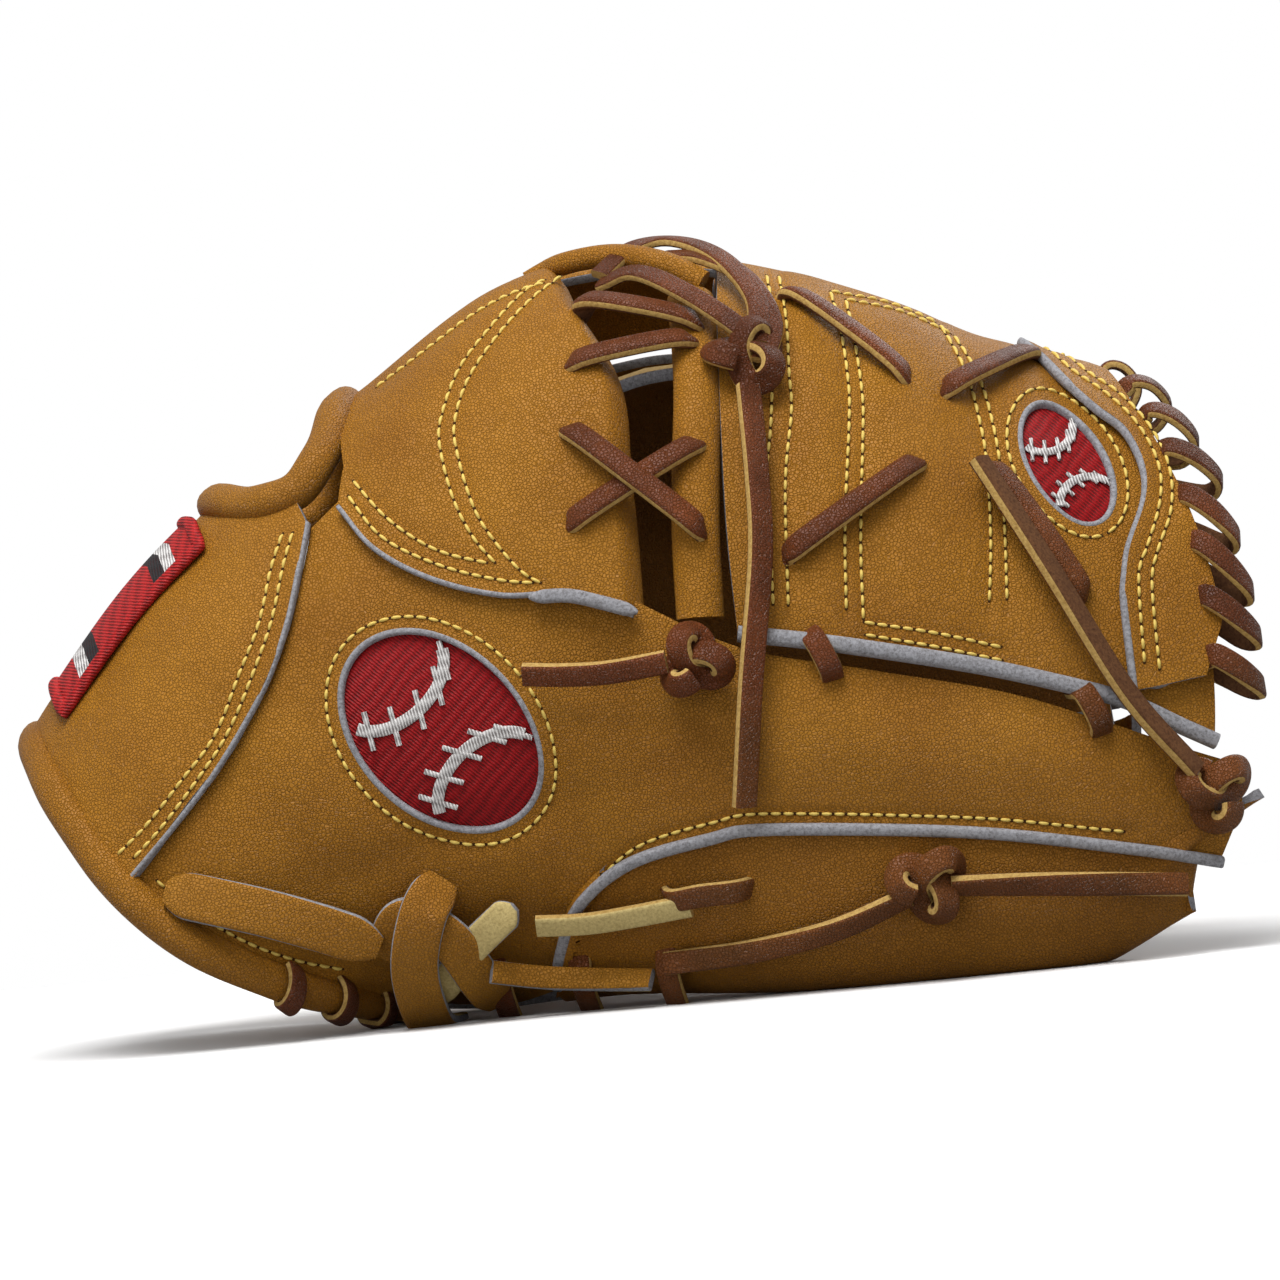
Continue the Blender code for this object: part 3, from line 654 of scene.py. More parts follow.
def ribbon(name, path, ups, width, thick, materials, how, replaced=(), fillet=0.3, closed=False,
           taper=0.0):
    """A strip of leather along path in mm: good side up, cut sides, flesh side down."""
    count = len(path)
    across_steps = 20
    bm = bmesh.new()
    bmesh.ops.create_grid(bm, x_segments=count - 1, y_segments=across_steps, size=0.5)
    for face in bm.faces:
        turn = 2 * math.pi * (face.calc_center_median().y + 0.5)
        side = 0 if math.sin(turn) > 0.3 else (2 if math.sin(turn) < -0.3 else 1)
        face.material_index = min(side, len(materials) - 1)
    for vert in bm.verts:
        i = round((vert.co.x + 0.5) * (count - 1))
        turn = 2 * math.pi * (vert.co.y + 0.5)
        c, s = math.cos(turn), math.sin(turn)
        if closed:
            onward = path[(i + 1) % (count - 1)] - path[(i - 1) % (count - 1)]
        else:
            onward = path[min(i + 1, count - 1)] - path[max(i - 1, 0)]
        onward.normalize()
        up = (ups[i] - onward * ups[i].dot(onward)).normalized()
        wide = width / 2 * math.copysign(abs(c) ** fillet, c) * (1 - 0.07 * s)
        if taper:
            wide *= 1 - taper * (1 - min(i / (count - 1) / 0.14, (1 - i / (count - 1)) / 0.14, 1)) ** 2
        tall = thick / 2 * math.copysign(abs(s) ** min(fillet * 1.6, 1), s)
        vert.co = (path[i] + up.cross(onward) * wide + up * tall) * MM
    bmesh.ops.remove_doubles(bm, verts=bm.verts, dist=0.000002)
    if not closed:
        caps = bmesh.ops.holes_fill(bm, edges=[e for e in bm.edges if e.is_boundary], sides=0)
        for face in caps["faces"]:
            face.material_index = min(1, len(materials) - 1)
    bmesh.ops.recalc_face_normals(bm, faces=bm.faces)
    made = finish_mesh(bm, name, materials, how, replaced)
    made.data.set_sharp_from_angle(angle=math.radians(50))
    return made


def lie(marks, count):
    """A path over the thumb side through marks of x, z and height, with its normals."""
    rows = [(i, *mark) for i, mark in enumerate(marks)]
    path, ups = [], []
    for n in range(count):
        x, z, lift = eased(rows, (len(marks) - 1) * n / (count - 1))
        s, u = locate(x, z)
        path.append(skin(s, u, -lift))
        ups.append(outward(s, u))
    return path, ups


# Cut seams and turned edges show the grey core of the hide as a thin line.
def edge_line(name, line, lift, how, width=1.5, thick=2.2):
    """A thin grey line of raw hide along a cut edge."""
    path, ups = lie([(x, z, lift) for x, z in curved(line, 30)], 60)
    return ribbon(name, path, ups, width, thick, [cut_edge], how, fillet=0.6)


WELT_SEEN = curved(WELT_LINE, 40)
path, ups = lie([(x, z, -0.6) for x, z in WELT_SEEN[1:]], 90)
ribbon("thumb_welt_strip", path, ups, 2.9, 3.0, [cut_edge], "side", ["thumb_welt"], 0.5)

# ---------------------------------------------------------------------------
# Stitches. Waxed yellow thread in short tight stitches, each end going down
# through a round needle hole, drawn as a flat dark disc of painted shade.
def plain(name, colour, rough, specular=0.4):
    made, tree, shader = finish(name, rough, specular)
    place = tree.nodes.new("ShaderNodeTexCoord").outputs["Object"]
    speck = spread(tree, noise_node(tree, place, 900, 3, 0.6), 0.4, 0.75, 0, 0.5)
    tone = blend_colour(tree, speck, colour, tuple(0.55 * c for c in colour))
    tree.links.new(tone, shader.inputs["Base Color"])
    return made


thread_yellow = plain("thread_yellow", (0.80, 0.58, 0.13), 0.6)
needle_hole_shade = plain("needle_hole_shade", (0.05, 0.02, 0.006), 0.9, 0.1)


STITCH_PITCH = 3.05
STITCH_LONG = 2.25
THREAD_THICK = 0.46
HOLE_RADIUS = 0.42


def stitches(name, lines, place, how):
    """Thread lying in rows along lines of x, z, with a disc of painted shade for a needle hole at both ends.
    """
    bm = bmesh.new()
    holes = bmesh.new()
    for line in lines:
        steps = [math.dist(a, b) for a, b in zip(line, line[1:])]
        total = sum(steps)
        for n in range(int(total / STITCH_PITCH)):
            ends = []
            for half in (-STITCH_LONG / 2, STITCH_LONG / 2):
                left, i = (n + 0.5) * STITCH_PITCH + half, 0
                while i < len(steps) - 1 and left > steps[i]:
                    left -= steps[i]
                    i += 1
                k = left / steps[i]
                ends.append([line[i][j] + (line[i + 1][j] - line[i][j]) * k for j in (0, 1)])
            (a, up), (b, _) = place(*ends[0]), place(*ends[1])
            reach = b - a
            made = bmesh.ops.create_uvsphere(bm, u_segments=6, v_segments=5, radius=1)["verts"]
            side = up.cross(reach).normalized()
            for vert in made:
                away = 0.5 + vert.co.z * 0.62
                rise = 0.3 * (1 - (2 * away - 1) ** 2)
                across = side * (vert.co.x * THREAD_THICK) + up * (vert.co.y * THREAD_THICK + rise)
                vert.co = (a + reach * away + across) * MM
            # Painted shade: a flat dark disc lies over each needle hole.
            for end in (a - reach * 0.1, b + reach * 0.1):
                ring = bmesh.ops.create_circle(holes, cap_ends=True, segments=8, radius=1)["verts"]
                other = up.cross(side)
                for vert in ring:
                    flat = (side * vert.co.x + other * vert.co.y) * HOLE_RADIUS
                    vert.co = (end + flat + up * 0.09) * MM
    bmesh.ops.recalc_face_normals(bm, faces=bm.faces)
    finish_mesh(bm, name, [thread_yellow], how)
    finish_mesh(holes, name + "_holes", [needle_hole_shade], how)


stitches("thumb_rows", [PATCH_RING, WRIST_ROW, WELT_ROW], place_thumb, "side")

# ---------------------------------------------------------------------------
# The thumb's oval patch. Deep red satin stitch on a backing cloth, let in
# under an oval window in the leather, with a plain white ball-seam motif.
weave = bpy.data.node_groups.new("satin_stitch", "ShaderNodeTree")
weave_in, weave_out = group_sockets(
    weave, [("Colour", "NodeSocketColor", (0.3, 0.01, 0.01, 1)), ("Slant", "NodeSocketFloat", 0.8)],
    [("Colour", "NodeSocketColor"), ("Height", "NodeSocketFloat")],
)
weave_place = weave.nodes.new("ShaderNodeTexCoord").outputs["Object"]
turned = weave.nodes.new("ShaderNodeVectorRotate")
turned.rotation_type = "Y_AXIS"
weave.links.new(weave_place, turned.inputs["Vector"])
weave.links.new(weave_in.outputs["Slant"], turned.inputs["Angle"])
threads = weave.nodes.new("ShaderNodeTexWave")
threads.inputs["Scale"].default_value = 420
threads.inputs["Distortion"].default_value = 1.6
threads.inputs["Detail"].default_value = 2
threads.inputs["Detail Scale"].default_value = 3
weave.links.new(turned.outputs["Vector"], threads.inputs["Vector"])
rows_node = weave.nodes.new("ShaderNodeTexWave")
rows_node.bands_direction = "Z"
rows_node.inputs["Scale"].default_value = 110
rows_node.inputs["Distortion"].default_value = 3
weave.links.new(turned.outputs["Vector"], rows_node.inputs["Vector"])
lay_of_thread = maths(weave, "ADD", threads.outputs["Fac"],
                      maths(weave, "MULTIPLY", rows_node.outputs["Fac"], 0.5))
# Painted shade: the satin is darkened toward black in the low grooves between its threads.
dark = blend_colour(weave, 0.75, weave_in.outputs["Colour"], (0.03, 0.003, 0.003))
shaded = blend_colour(weave, spread(weave, lay_of_thread, 0.1, 1.1), dark, weave_in.outputs["Colour"])
weave.links.new(shaded, weave_out.inputs["Colour"])
weave.links.new(lay_of_thread, weave_out.inputs["Height"])


def embroidery(name, colour, slant=0.8):
    made, tree, shader = finish(name, 0.55, 0.2)
    lay_grain(tree, shader, weave, {"Colour": colour, "Slant": slant}, 0.8, 0.0003)
    return made


red_satin = embroidery("red_satin", (0.36, 0.006, 0.008))
white_satin = embroidery("white_satin", (0.78, 0.76, 0.74), 0.2)


def oval_patch(name, spec, place, depth, puff, how, replaced):
    """A padded oval of cloth, sunk depth below the leather around it."""
    cx, cz, long, short, tilt = spec
    tilt = math.radians(tilt)

    def point(a, b):
        x, y = 2 * a - 1, 2 * b - 1
        dx, dy = x * math.sqrt(1 - y * y / 2) * (long + 1.6), y * math.sqrt(1 - x * x / 2) * (short + 1.6)
        px = cx + dx * math.cos(tilt) - dy * math.sin(tilt)
        pz = cz + dx * math.sin(tilt) + dy * math.cos(tilt)
        r = min((dx / (long + 1.6)) ** 2 + (dy / (short + 1.6)) ** 2, 1)
        s, u = locate(px, pz)
        return place(px, pz)[0] - outward(s, u) * (depth - puff * (1 - r * r))

    return leather(name, point, 48, 40, how, [replaced], 1.2, [red_satin, red_satin])


oval_patch("thumb_patch_cloth", PATCH, place_thumb, 2.0, 1.0, "side", "thumb_patch")


def motif(name, spec, place, how, lift, width):
    """Two curved bars, like a ball's seams, with short stitches across them."""
    cx, cz, long, short, tilt = spec
    tilt = math.radians(tilt)

    def at(dx, dz):
        px = cx + dx * math.cos(tilt) - dz * math.sin(tilt)
        pz = cz + dx * math.sin(tilt) + dz * math.cos(tilt)
        spot, up = place(px, pz)
        return spot + up * lift, up

    for side in (-1, 1):
        line = [at(side * long * (0.62 - 0.36 * math.cos(t)), short * 0.74 * math.sin(t))
                for t in [-1.25 + 2.5 * n / 24 for n in range(25)]]
        ribbon(f"{name}_bar_{'ab'[side > 0]}", [p for p, _ in line], [u for _, u in line],
               width, 0.8, [white_satin], how, fillet=0.7)
        for k in range(5):
            t = -1.0 + 0.5 * k
            x, z = side * long * (0.62 - 0.36 * math.cos(t)), short * 0.74 * math.sin(t)
            tick = [at(x + (n - 2) * 0.075 * long, z + (n - 2) * 0.06 * short * side) for n in range(5)]
            ribbon(f"{name}_tick_{'ab'[side > 0]}{k}", [p for p, _ in tick], [u for _, u in tick],
                   width * 0.45, 0.9, [white_satin], how, fillet=0.7)


motif("thumb_motif", PATCH, place_thumb, "side", -0.7, 3.0)


def window_rim(name, spec, place, how):
    """The grey cut wall of the leather round an oval window."""
    line = [place(x, z) for x, z in oval(spec, -0.1, 96)]
    ribbon(name, [p - u * 0.9 for p, u in line], [u for _, u in line], 1.7, 2.2, [cut_edge], how,
           fillet=0.6, closed=True)


window_rim("thumb_window_rim", PATCH, place_thumb, "side")

# ---------------------------------------------------------------------------
# The wrist strap. A band of the same hide round the back of the wrist, cut
# away for the hand hole, lapped over the thumb panel and sewn in two rows.
HOLE = (0.318, 0.088, -0.02, 0.215)
SEAM_ROWS = [
    curved([(-80, 122), (-84, 113), (-88, 100), (-94, 88), (-101, 75), (-110, 65), (-119, 56),
            (-128, 48.5)], 30),
    curved([(-77.5, 122), (-81, 113), (-85, 100), (-90.5, 88), (-98, 75), (-106, 65), (-115, 55.5),
            (-125, 46.5)], 30),
]
strap_line = seen(curved(STRAP_SEAM))


def seam_at(line, u):
    i = 0
    ordered = sorted(line, key=lambda p: p[1])
    while i < len(ordered) - 2 and u > ordered[i + 1][1]:
        i += 1
    a, b = ordered[i], ordered[i + 1]
    k = min(max((u - a[1]) / (b[1] - a[1]), 0), 1)
    return a[0] + (b[0] - a[0]) * k


def hole_edge(u):
    k = (u - HOLE[2]) / (HOLE[3] + 0.012)
    return 1 if abs(k) >= 1 else HOLE[0] - HOLE[1] * math.sqrt(1 - k * k) - 0.012


def strap_lift(x, z):
    return 0.9 - dent(x, z, SEAM_ROWS) - 0.3 * math.sin(0.11 * x + 0.16 * z)


def place_strap(x, z):
    s, u = locate(x, z)
    return skin(s, u, -strap_lift(x, z)), outward(s, u)


strap_top = max(u for _, u in strap_line) - 0.004


def strap_point(a, b):
    u = strap_top - (strap_top + 0.86) * a
    start = 0.002
    edge = max(min(seam_at(strap_line, u), hole_edge(u)), start + 0.02)
    if u < 0:
        edge = min(edge, 0.212 + 0.1 * u)
    s = start + (edge - start) * b
    spot = form(s, u)
    return skin(s, u, -strap_lift(spot.x, spot.z) if u > 0 else -0.9 + 0.5 * math.exp(-((b - 1) / 0.1) ** 2))


leather("wrist_strap_leather", strap_point, 150, 36, "side", ["wrist_strap"])
stitches("strap_rows", SEAM_ROWS, place_strap, "side")
edge_line("strap_cut_edge", STRAP_SEAM, 0.1, "side", 1.3, 1.9)

# The label on the strap: red cloth in an overlocked red rim, with plain
# white and black bands, sewn flat to the back of the wrist.
black_band = embroidery("black_band", (0.02, 0.02, 0.022), 0.2)
label_red = embroidery("label_red", (0.50, 0.02, 0.02), 1.4)
LABEL_NEAR = 0.165
LABEL_SPAN = 0.45
LABEL_COLUMNS = 90
LABEL_ROWS = 40
WHITE_BAND = range(6, 9)
BLACK_BAND = range(9, 12)


def label_point(a, b):
    u = LABEL_NEAR - LABEL_SPAN * a
    s = 0.034 + (min(0.205, hole_edge(u) - 0.022) - 0.034) * b
    return skin(s, u, -2.6)


label = leather("wrist_label_cloth", label_point, LABEL_COLUMNS, LABEL_ROWS, "side", ["wrist_label"], 1.2,
                [label_red, label_red, white_satin, black_band])
for face in label.data.polygons:
    row = face.index // LABEL_COLUMNS
    across = min(row, LABEL_ROWS - 1 - row)
    if across in WHITE_BAND:
        face.material_index = 2
    elif across in BLACK_BAND:
        face.material_index = 3
rim = []
for corner, n in ((0, 40), (1, 16), (2, 40), (3, 16)):
    for k in range(n):
        t = k / n
        a, b = ((t, 0), (1, t), (1 - t, 1), (0, 1 - t))[corner]
        rim.append((a, b))
rim.append(rim[0])
rim_path = [label_point(a, b) for a, b in rim]
rim_ups = [outward(0.12, LABEL_NEAR - LABEL_SPAN * a) for a, b in rim]
ribbon("wrist_label_rim", rim_path, rim_ups, 3.4, 2.8, [label_red], "side", fillet=0.8,
       closed=True)

# The fleece pad that lies against the wrist, under the strap.
fleece = plain("fleece", (0.62, 0.55, 0.42), 0.95, 0.1)
felt = plain("felt", (0.42, 0.40, 0.36), 0.95, 0.1)
lining = plain("lining", (0.55, 0.38, 0.16), 0.8, 0.2)


def fleece_point(a, b):
    return skin(0.035 + 0.135 * a, -0.5 + 0.7 * b, 3.7)


leather("wrist_fleece_pad", fleece_point, 30, 60, "hand", ["wrist_fleece"], 5.6, [fleece, fleece])

# ---------------------------------------------------------------------------
# The crotch panel. The piece between the hand hole and the fork of thumb and
# forefinger, sewn over the thumb panel, with its free end folded under.
CROTCH_INNER = curved([(-7, 178), (-15, 172.5), (-24, 164), (-32, 154), (-36, 144), (-36, 137), (-34, 126),
                       (-31, 118), (-24, 107.5), (-18, 103)], 40)
CROTCH_OUTER = curved([(-11, 177.5), (-17, 174.5), (-26, 166), (-34, 157), (-39, 146), (-40, 139), (-38, 126),
                       (-34, 116), (-29, 109)], 40)
CROTCH_BASE = [curved([(-62, 133), (-54, 122.5), (-43, 114), (-29, 109)], 20),
               curved([(-63.5, 129.5), (-56, 118.5), (-43, 110.5), (-29, 105.5), (-18, 103.5)], 24)]
CROTCH_TOP = [curved([(-55, 155.5), (-40, 164.5), (-29, 171), (-19, 175), (-9, 177)], 20)]
CROTCH_ROWS = [CROTCH_INNER, CROTCH_OUTER, *CROTCH_BASE, *CROTCH_TOP]
CROTCH_SIDE = [(-9, 181), (4, 153), (4.5, 128), (4.5, 112), (4, 94)]


def crotch_lift(x, z):
    belly = 1.4 * math.exp(-(((x + 14) / 14) ** 2) - ((z - 140) / 24) ** 2)
    saddle = 0.7 * math.exp(-(((x + 50) / 9) ** 2) - ((z - 139) / 12) ** 2)
    return 1.0 + belly + saddle - dent(x, z, CROTCH_ROWS)


def place_crotch(x, z):
    s, u = locate(x, z)
    return skin(s, u, -crotch_lift(x, z)), outward(s, u)


crotch_high = [(0.405, -0.02), (0.47, -0.02), (0.52, -0.01), (0.57, 0.02)]
crotch_left = seen([(-66, 127)]) + [(0.382, 0.22), (0.402, 0.1), (0.405, -0.02)]
crotch_right = list(reversed(seen(curved(CROTCH_SIDE))[3:])) + [(0.57, 0.02)]
crotch_low = seen(curved(CROTCH_LOW[:-1] + [(4, 94)]))
crotch_left[0] = crotch_low[0]
crotch_right[0] = crotch_low[-1]
crotch_area = coons(crotch_left, crotch_right, crotch_high, crotch_low)


def crotch_point(a, b):
    s, u = crotch_area(a, b)
    spot = form(s, u)
    tuck = 6.0 * max(0, (a - 0.93) / 0.07) ** 2
    return skin(s, u, tuck - (crotch_lift(spot.x, spot.z) if u > 0.02 else 1.0))


leather("crotch_leather", crotch_point, 110, 90, "fork", ["crotch_panel"])
stitches("crotch_rows", CROTCH_ROWS, place_crotch, "fork")
edge_line("crotch_cut_edge", CROTCH_LOW, 0.2, "side", 1.4, 2.0)

# ---------------------------------------------------------------------------
# The fingers. Four stuffed stalls on the far side, each a narrow shell that
# swells over its felt and turns down at the tip, and the panels behind them.
def finger(name, u0, u1, s0, s1, node):
    def point(a, b):
        tip = s1 - 0.03 * abs(2 * b - 1) ** 4
        s, u = s0 + (tip - s0) * a, u0 + (u1 - u0) * b
        turn = 15 * max(0, (a - 0.84) / 0.16) ** 2
        swell = 5.4 * max(math.sin(math.pi * b), 0) ** 0.7
        return skin(s, u, 1.5 - swell + turn - 0.25 * math.sin(40 * a))

    leather(name, point, 90, 34, "hand", [node])


finger("index_leather", -0.062, -0.277, 0.465, 0.975, "index_back")
finger("middle_leather", -0.288, -0.507, 0.455, 0.985, "middle_back")
finger("ring_leather", -0.518, -0.737, 0.46, 0.98, "ring_back")


def little_area(a, b):
    return 0.47 + 0.495 * a, 0.755 + (EDGE - 0.755) * b


leather("pinky_leather", grounded(stall_edge(lambda a, b: little_area(a, 1 - b), -1, 0.885, 0)), 90, 60,
        "hand",
        ["pinky_back"], materials=[shell_hide, cut_edge], sense=outer_wall)


def little_side(a, b):
    u = -0.30 - 0.692 * b
    start = 0.2 + 0.1 * u + 0.004
    if u < -0.86:
        start = max(0.035, start - 1.0 * (-0.86 - u))
    return skin(start + ((0.424 if u > -0.74 else 0.462) - start) * a, u, 0)


leather("pinky_side_leather", grounded(little_side), 40, 80, "hand", ["pinky_shell"])
leather("knuckle_leather", lambda a, b: skin(0.42 + 0.036 * a, -0.74 + 0.73 * b, 0.2), 14, 90, "hand",
        ["knuckle_bridge"])

# ---------------------------------------------------------------------------
# The palm. One deep, darker sheet from heel to fingertips forms the pocket,
# over a felt pad and a thin glove-leather lining on the hand's side.
PALM = [
    (0.06, 0.95, 0.66, 13, -0.70, 13, 60),
    (0.20, 0.88, 0.64, 16, -0.76, 15, 66),
    (0.32, 0.62, 0.60, 27, -0.83, 20, 84),
    (0.44, 0.34, 0.59, 28, -0.84, 27, 96),
    (0.56, 0.18, 0.58, 28, -0.84, 27, 98),
    (0.76, 0.16, 0.58, 27, -0.84, 27, 98),
    (1.00, 0.17, 0.58, 20, -0.84, 22, 98),
]


def palm(s, v):
    apex, near_u, near_d, far_u, far_d, arc = eased(PALM, s)
    tx, tz, bx, bz, *_ = eased(LAST, s)
    top = Vector((tx + (bx - tx) * apex, 0, tz + (bz - tz) * apex))
    end = (skin(s, near_u, near_d) if v > 0 else skin(s, far_u, far_d)) - SHIFT
    angle = math.radians(arc)
    drop = (1 - math.cos(v * angle)) / (1 - math.cos(angle))
    across = math.sin(abs(v) * angle) / math.sin(angle)
    return Vector((top.x + (end.x - top.x) * drop, end.y * across, top.z + (end.z - top.z) * drop)) + SHIFT


def palm_point(a, b):
    s = 0.115 + 0.845 * a
    k = min(max((s - 0.5) / 0.07, 0), 1)
    near = 0.98 - 0.93 * k * k * (3 - 2 * k)
    return palm(s, -0.985 + (near + 0.985) * b)


leather("palm_leather_sheet", grounded(palm_point), 110, 90, "hand", ["palm_shell"], 3.0,
        [palm_hide, cut_edge], lambda spot: Vector((0, 0.02 * spot.y, 1)))
for node, paint in (("palm_pad", felt), ("hand_lining", lining), ("stall_lining", lining),
                    ("thumb_felt", felt), ("thumb_lining", lining)):
    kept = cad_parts[node]
    kept.data.materials.clear()
    kept.data.materials.append(paint)

# ---------------------------------------------------------------------------
# The web. A closed two-piece web: a front and a back sheet sewn together in
# long double rows, a top panel lapped on by the edge lace, a rolled base.
WEB_LOW = [(26, 88), (41, 85), (56, 81.5), (81, 75), (100, 69), (116, 63), (129, 55.5), (137, 51)]
WEB_SIDE = [(31, 178), (29, 160), (27, 132), (26, 110), (26, 88)]
TOP_EDGE = [(103, 150), (107, 145), (112, 138), (118, 131), (124, 125), (127, 116), (126, 108), (121, 98),
            (119, 91), (118, 84), (118, 64)]
WEB_PATCH = (109.4, 120, 16.0, 9.8, -67)
WEB_ROWS = [
    curved([(43, 175), (43, 162), (41, 148), (39, 135), (37, 125), (36, 109), (35, 91)], 30),
    curved([(46, 174.5), (46, 162), (45, 148), (44.5, 139), (41, 121), (38.5, 90.5)], 30),
    curved([(58, 169), (59, 157), (59, 144), (58, 135), (54, 110), (52, 88)], 30),
    curved([(61.5, 166.5), (62, 154), (62, 141), (61, 132), (57.5, 107), (56, 87)], 30),
    curved([(61.5, 166.5), (74, 162), (87, 155)], 12),
    curved([(58, 169), (71, 165), (84, 158)], 12),
    curved([(56, 87), (73, 82.5), (89, 77.5)], 14),
    curved([(56, 84), (72, 79.5), (90, 74)], 14),
    curved([(84, 158), (88, 146), (89.5, 135), (90, 122), (88.5, 103), (86, 86)], 24),
    curved([(87, 155), (90.5, 146), (92.5, 135), (93, 117), (90.5, 86)], 24),
]
TOP_ROWS = [
    curved([(108, 149), (113, 141.5), (121, 134), (127, 126), (130.5, 116), (129.5, 107), (125, 97),
            (122, 90),
            (121, 68)], 30),
    curved([(112, 148), (117, 140.5), (124, 134), (130, 125), (133, 115), (132, 105), (127.5, 96), (125, 88),
            (124.5, 66)], 30),
]


def web_lift(x, z):
    quilt = 0.0
    for cx, width in ((50, 6.5), (74, 12), (102, 8)):
        quilt += 1.5 * math.exp(-(((x - cx - 0.03 * (z - 120)) / width) ** 2))
    pulled = 0.9 * math.exp(-(((z - 75 + (x - 60) * 0.42) / 6) ** 2))
    return -0.6 + quilt * math.exp(-(((z - 122) / 48) ** 4)) - pulled - dent(x, z, WEB_ROWS)


def place_web(x, z):
    s, u = locate(x, z)
    return skin(s, u, -web_lift(x, z)), outward(s, u)


web_left = list(reversed(seen(curved(WEB_SIDE))))
web_low = seen(curved(WEB_LOW))
RIDGE = -0.05
web_high = [(web_left[-1][0] + 0.004, RIDGE), (0.75, RIDGE), (0.87, RIDGE), (1.0, RIDGE)]
web_right = [web_low[-1], (0.998, 0.4), (0.997, 0.2), (0.993, RIDGE)]
web_left = web_left[:-2] + [web_high[0]]
web_left[0] = web_low[0]
web_area = coons(web_left, web_right, web_high, web_low)


def web_point(a, b):
    s, u = web_area(a, b)
    spot = form(s, u)
    return skin(s, u, -web_lift(spot.x, spot.z) if u > 0.02 else 0.6)


leather("web_back_leather", web_point, 190, 120, "fork", ["web_back_panel"], windows=[(WEB_PATCH, place_web)])
leather("web_front_leather", lambda a, b: skin(*web_area(a, b), 5.4), 90, 60, "fork", ["web_front_panel"],
        2.8,
        [palm_hide, cut_edge])
WEB_RING = oval(WEB_PATCH, 3.2)
stitches("web_rows", [*WEB_ROWS, WEB_RING], place_web, "fork")
oval_patch("web_patch_cloth", WEB_PATCH, place_web, 1.9, 0.7, "fork", "web_patch")
motif("web_motif", WEB_PATCH, place_web, "fork", -0.7, 2.1)
window_rim("web_window_rim", WEB_PATCH, place_web, "fork")
low_path, low_ups = lie([(x, z - 0.9, 0.3) for x, z in curved(WEB_LOW, 40)], 120)
ribbon("web_cut_edge", low_path, low_ups, 4.0, 3.6, [cut_edge], "fork", fillet=0.55)

path, ups = lie([(-16, 180, -1), (-7, 181.5, 0.5), (6, 181, 1.5), (18, 177, 2.0), (27, 173, 0)], 50)
ribbon("fork_top_roll", path, ups, 6.4, 5.6, [shell_hide], "fork", fillet=0.9)
path, ups = lie([(-22, 100.5, 1.2), (-13, 100, 1.6), (-5, 97.5, 1.6), (3, 94.5, 0.6)], 40)
ribbon("crotch_fold_edge", path, ups, 3.4, 2.4, [cut_edge], "side", fillet=0.6, taper=0.7)

top_side = seen(list(reversed(curved(TOP_EDGE))))
top_end = [(0.985, top_side[0][1] + 0.005), (1.005, top_side[0][1] - 0.06), (1.006, 0.3), (1.0, 0.0)]
top_side[-1] = (0.915, 0.0)
top_area = coons(top_side, top_end, [top_side[-1], top_end[-1]], [top_side[0], top_end[0]])


def top_lift(x, z):
    return 2.6 + 0.8 * math.exp(-(((z - 112) / 30) ** 2)) - dent(x, z, TOP_ROWS)


def place_top(x, z):
    s, u = locate(x, z)
    return skin(s, u, -top_lift(x, z)), outward(s, u)


def top_point(a, b):
    s, u = top_area(a, b)
    spot = form(s, u)
    return skin(s, u, -top_lift(spot.x, spot.z))


leather("web_top_leather", top_point, 60, 110, "fork", ["web_top_panel"])
stitches("web_top_rows", TOP_ROWS, place_top, "fork")
edge_line("web_top_cut_edge", TOP_EDGE, 1.9, "fork", 1.9, 2.2)

roll_path, roll_ups = lie([(24, 172, -3.4), (23, 150, -3.0), (20.5, 130, -3.0), (18.5, 112, -3.0),
                           (17.5, 92, -3.4)], 60)
ribbon("web_base_roll_leather", roll_path, roll_ups, 11.5, 8.0, [shell_hide], "fork",
       ["web_base_roll"], fillet=0.9)

# ---------------------------------------------------------------------------
# The bindings. Strips of hide rolled over the edge of the wrist opening and
# of the hand hole, and sewn through along their inner side.
def binding(name, place, count, radius, how, node):
    path, ups = [], []
    for n in range(count + 1):
        spot, up = place(2 * math.pi * n / count)
        path.append(spot)
        ups.append(up)
    return ribbon(name, path, ups, 2 * radius, 2 * radius - 1, [binding_hide], how, [node],
                  fillet=0.85, closed=True)


def wrist_ring(t):
    u = -1 + t / math.pi
    wobble = 0.35 * math.sin(23 * u) + 0.25 * math.sin(41 * u + 1)
    s = -0.010 + 0.010 * max(0, abs(u) - 0.85) / 0.15
    spot = skin(s, u, 1.4 + wobble)
    spot.z = max(spot.z, 4.6)
    return spot, outward(s, u)


def hole_ring(t):
    s, u = HOLE[0] + HOLE[1] * math.cos(t), HOLE[2] + HOLE[3] * math.sin(t)
    return skin(s, u, -0.9 + 0.3 * math.sin(9 * t)), outward(s, u)


binding("wrist_binding_roll", wrist_ring, 220, 4.8, "side", "wrist_binding")
binding("opening_binding_roll", hole_ring, 150, 4.8, "hand", "opening_binding")

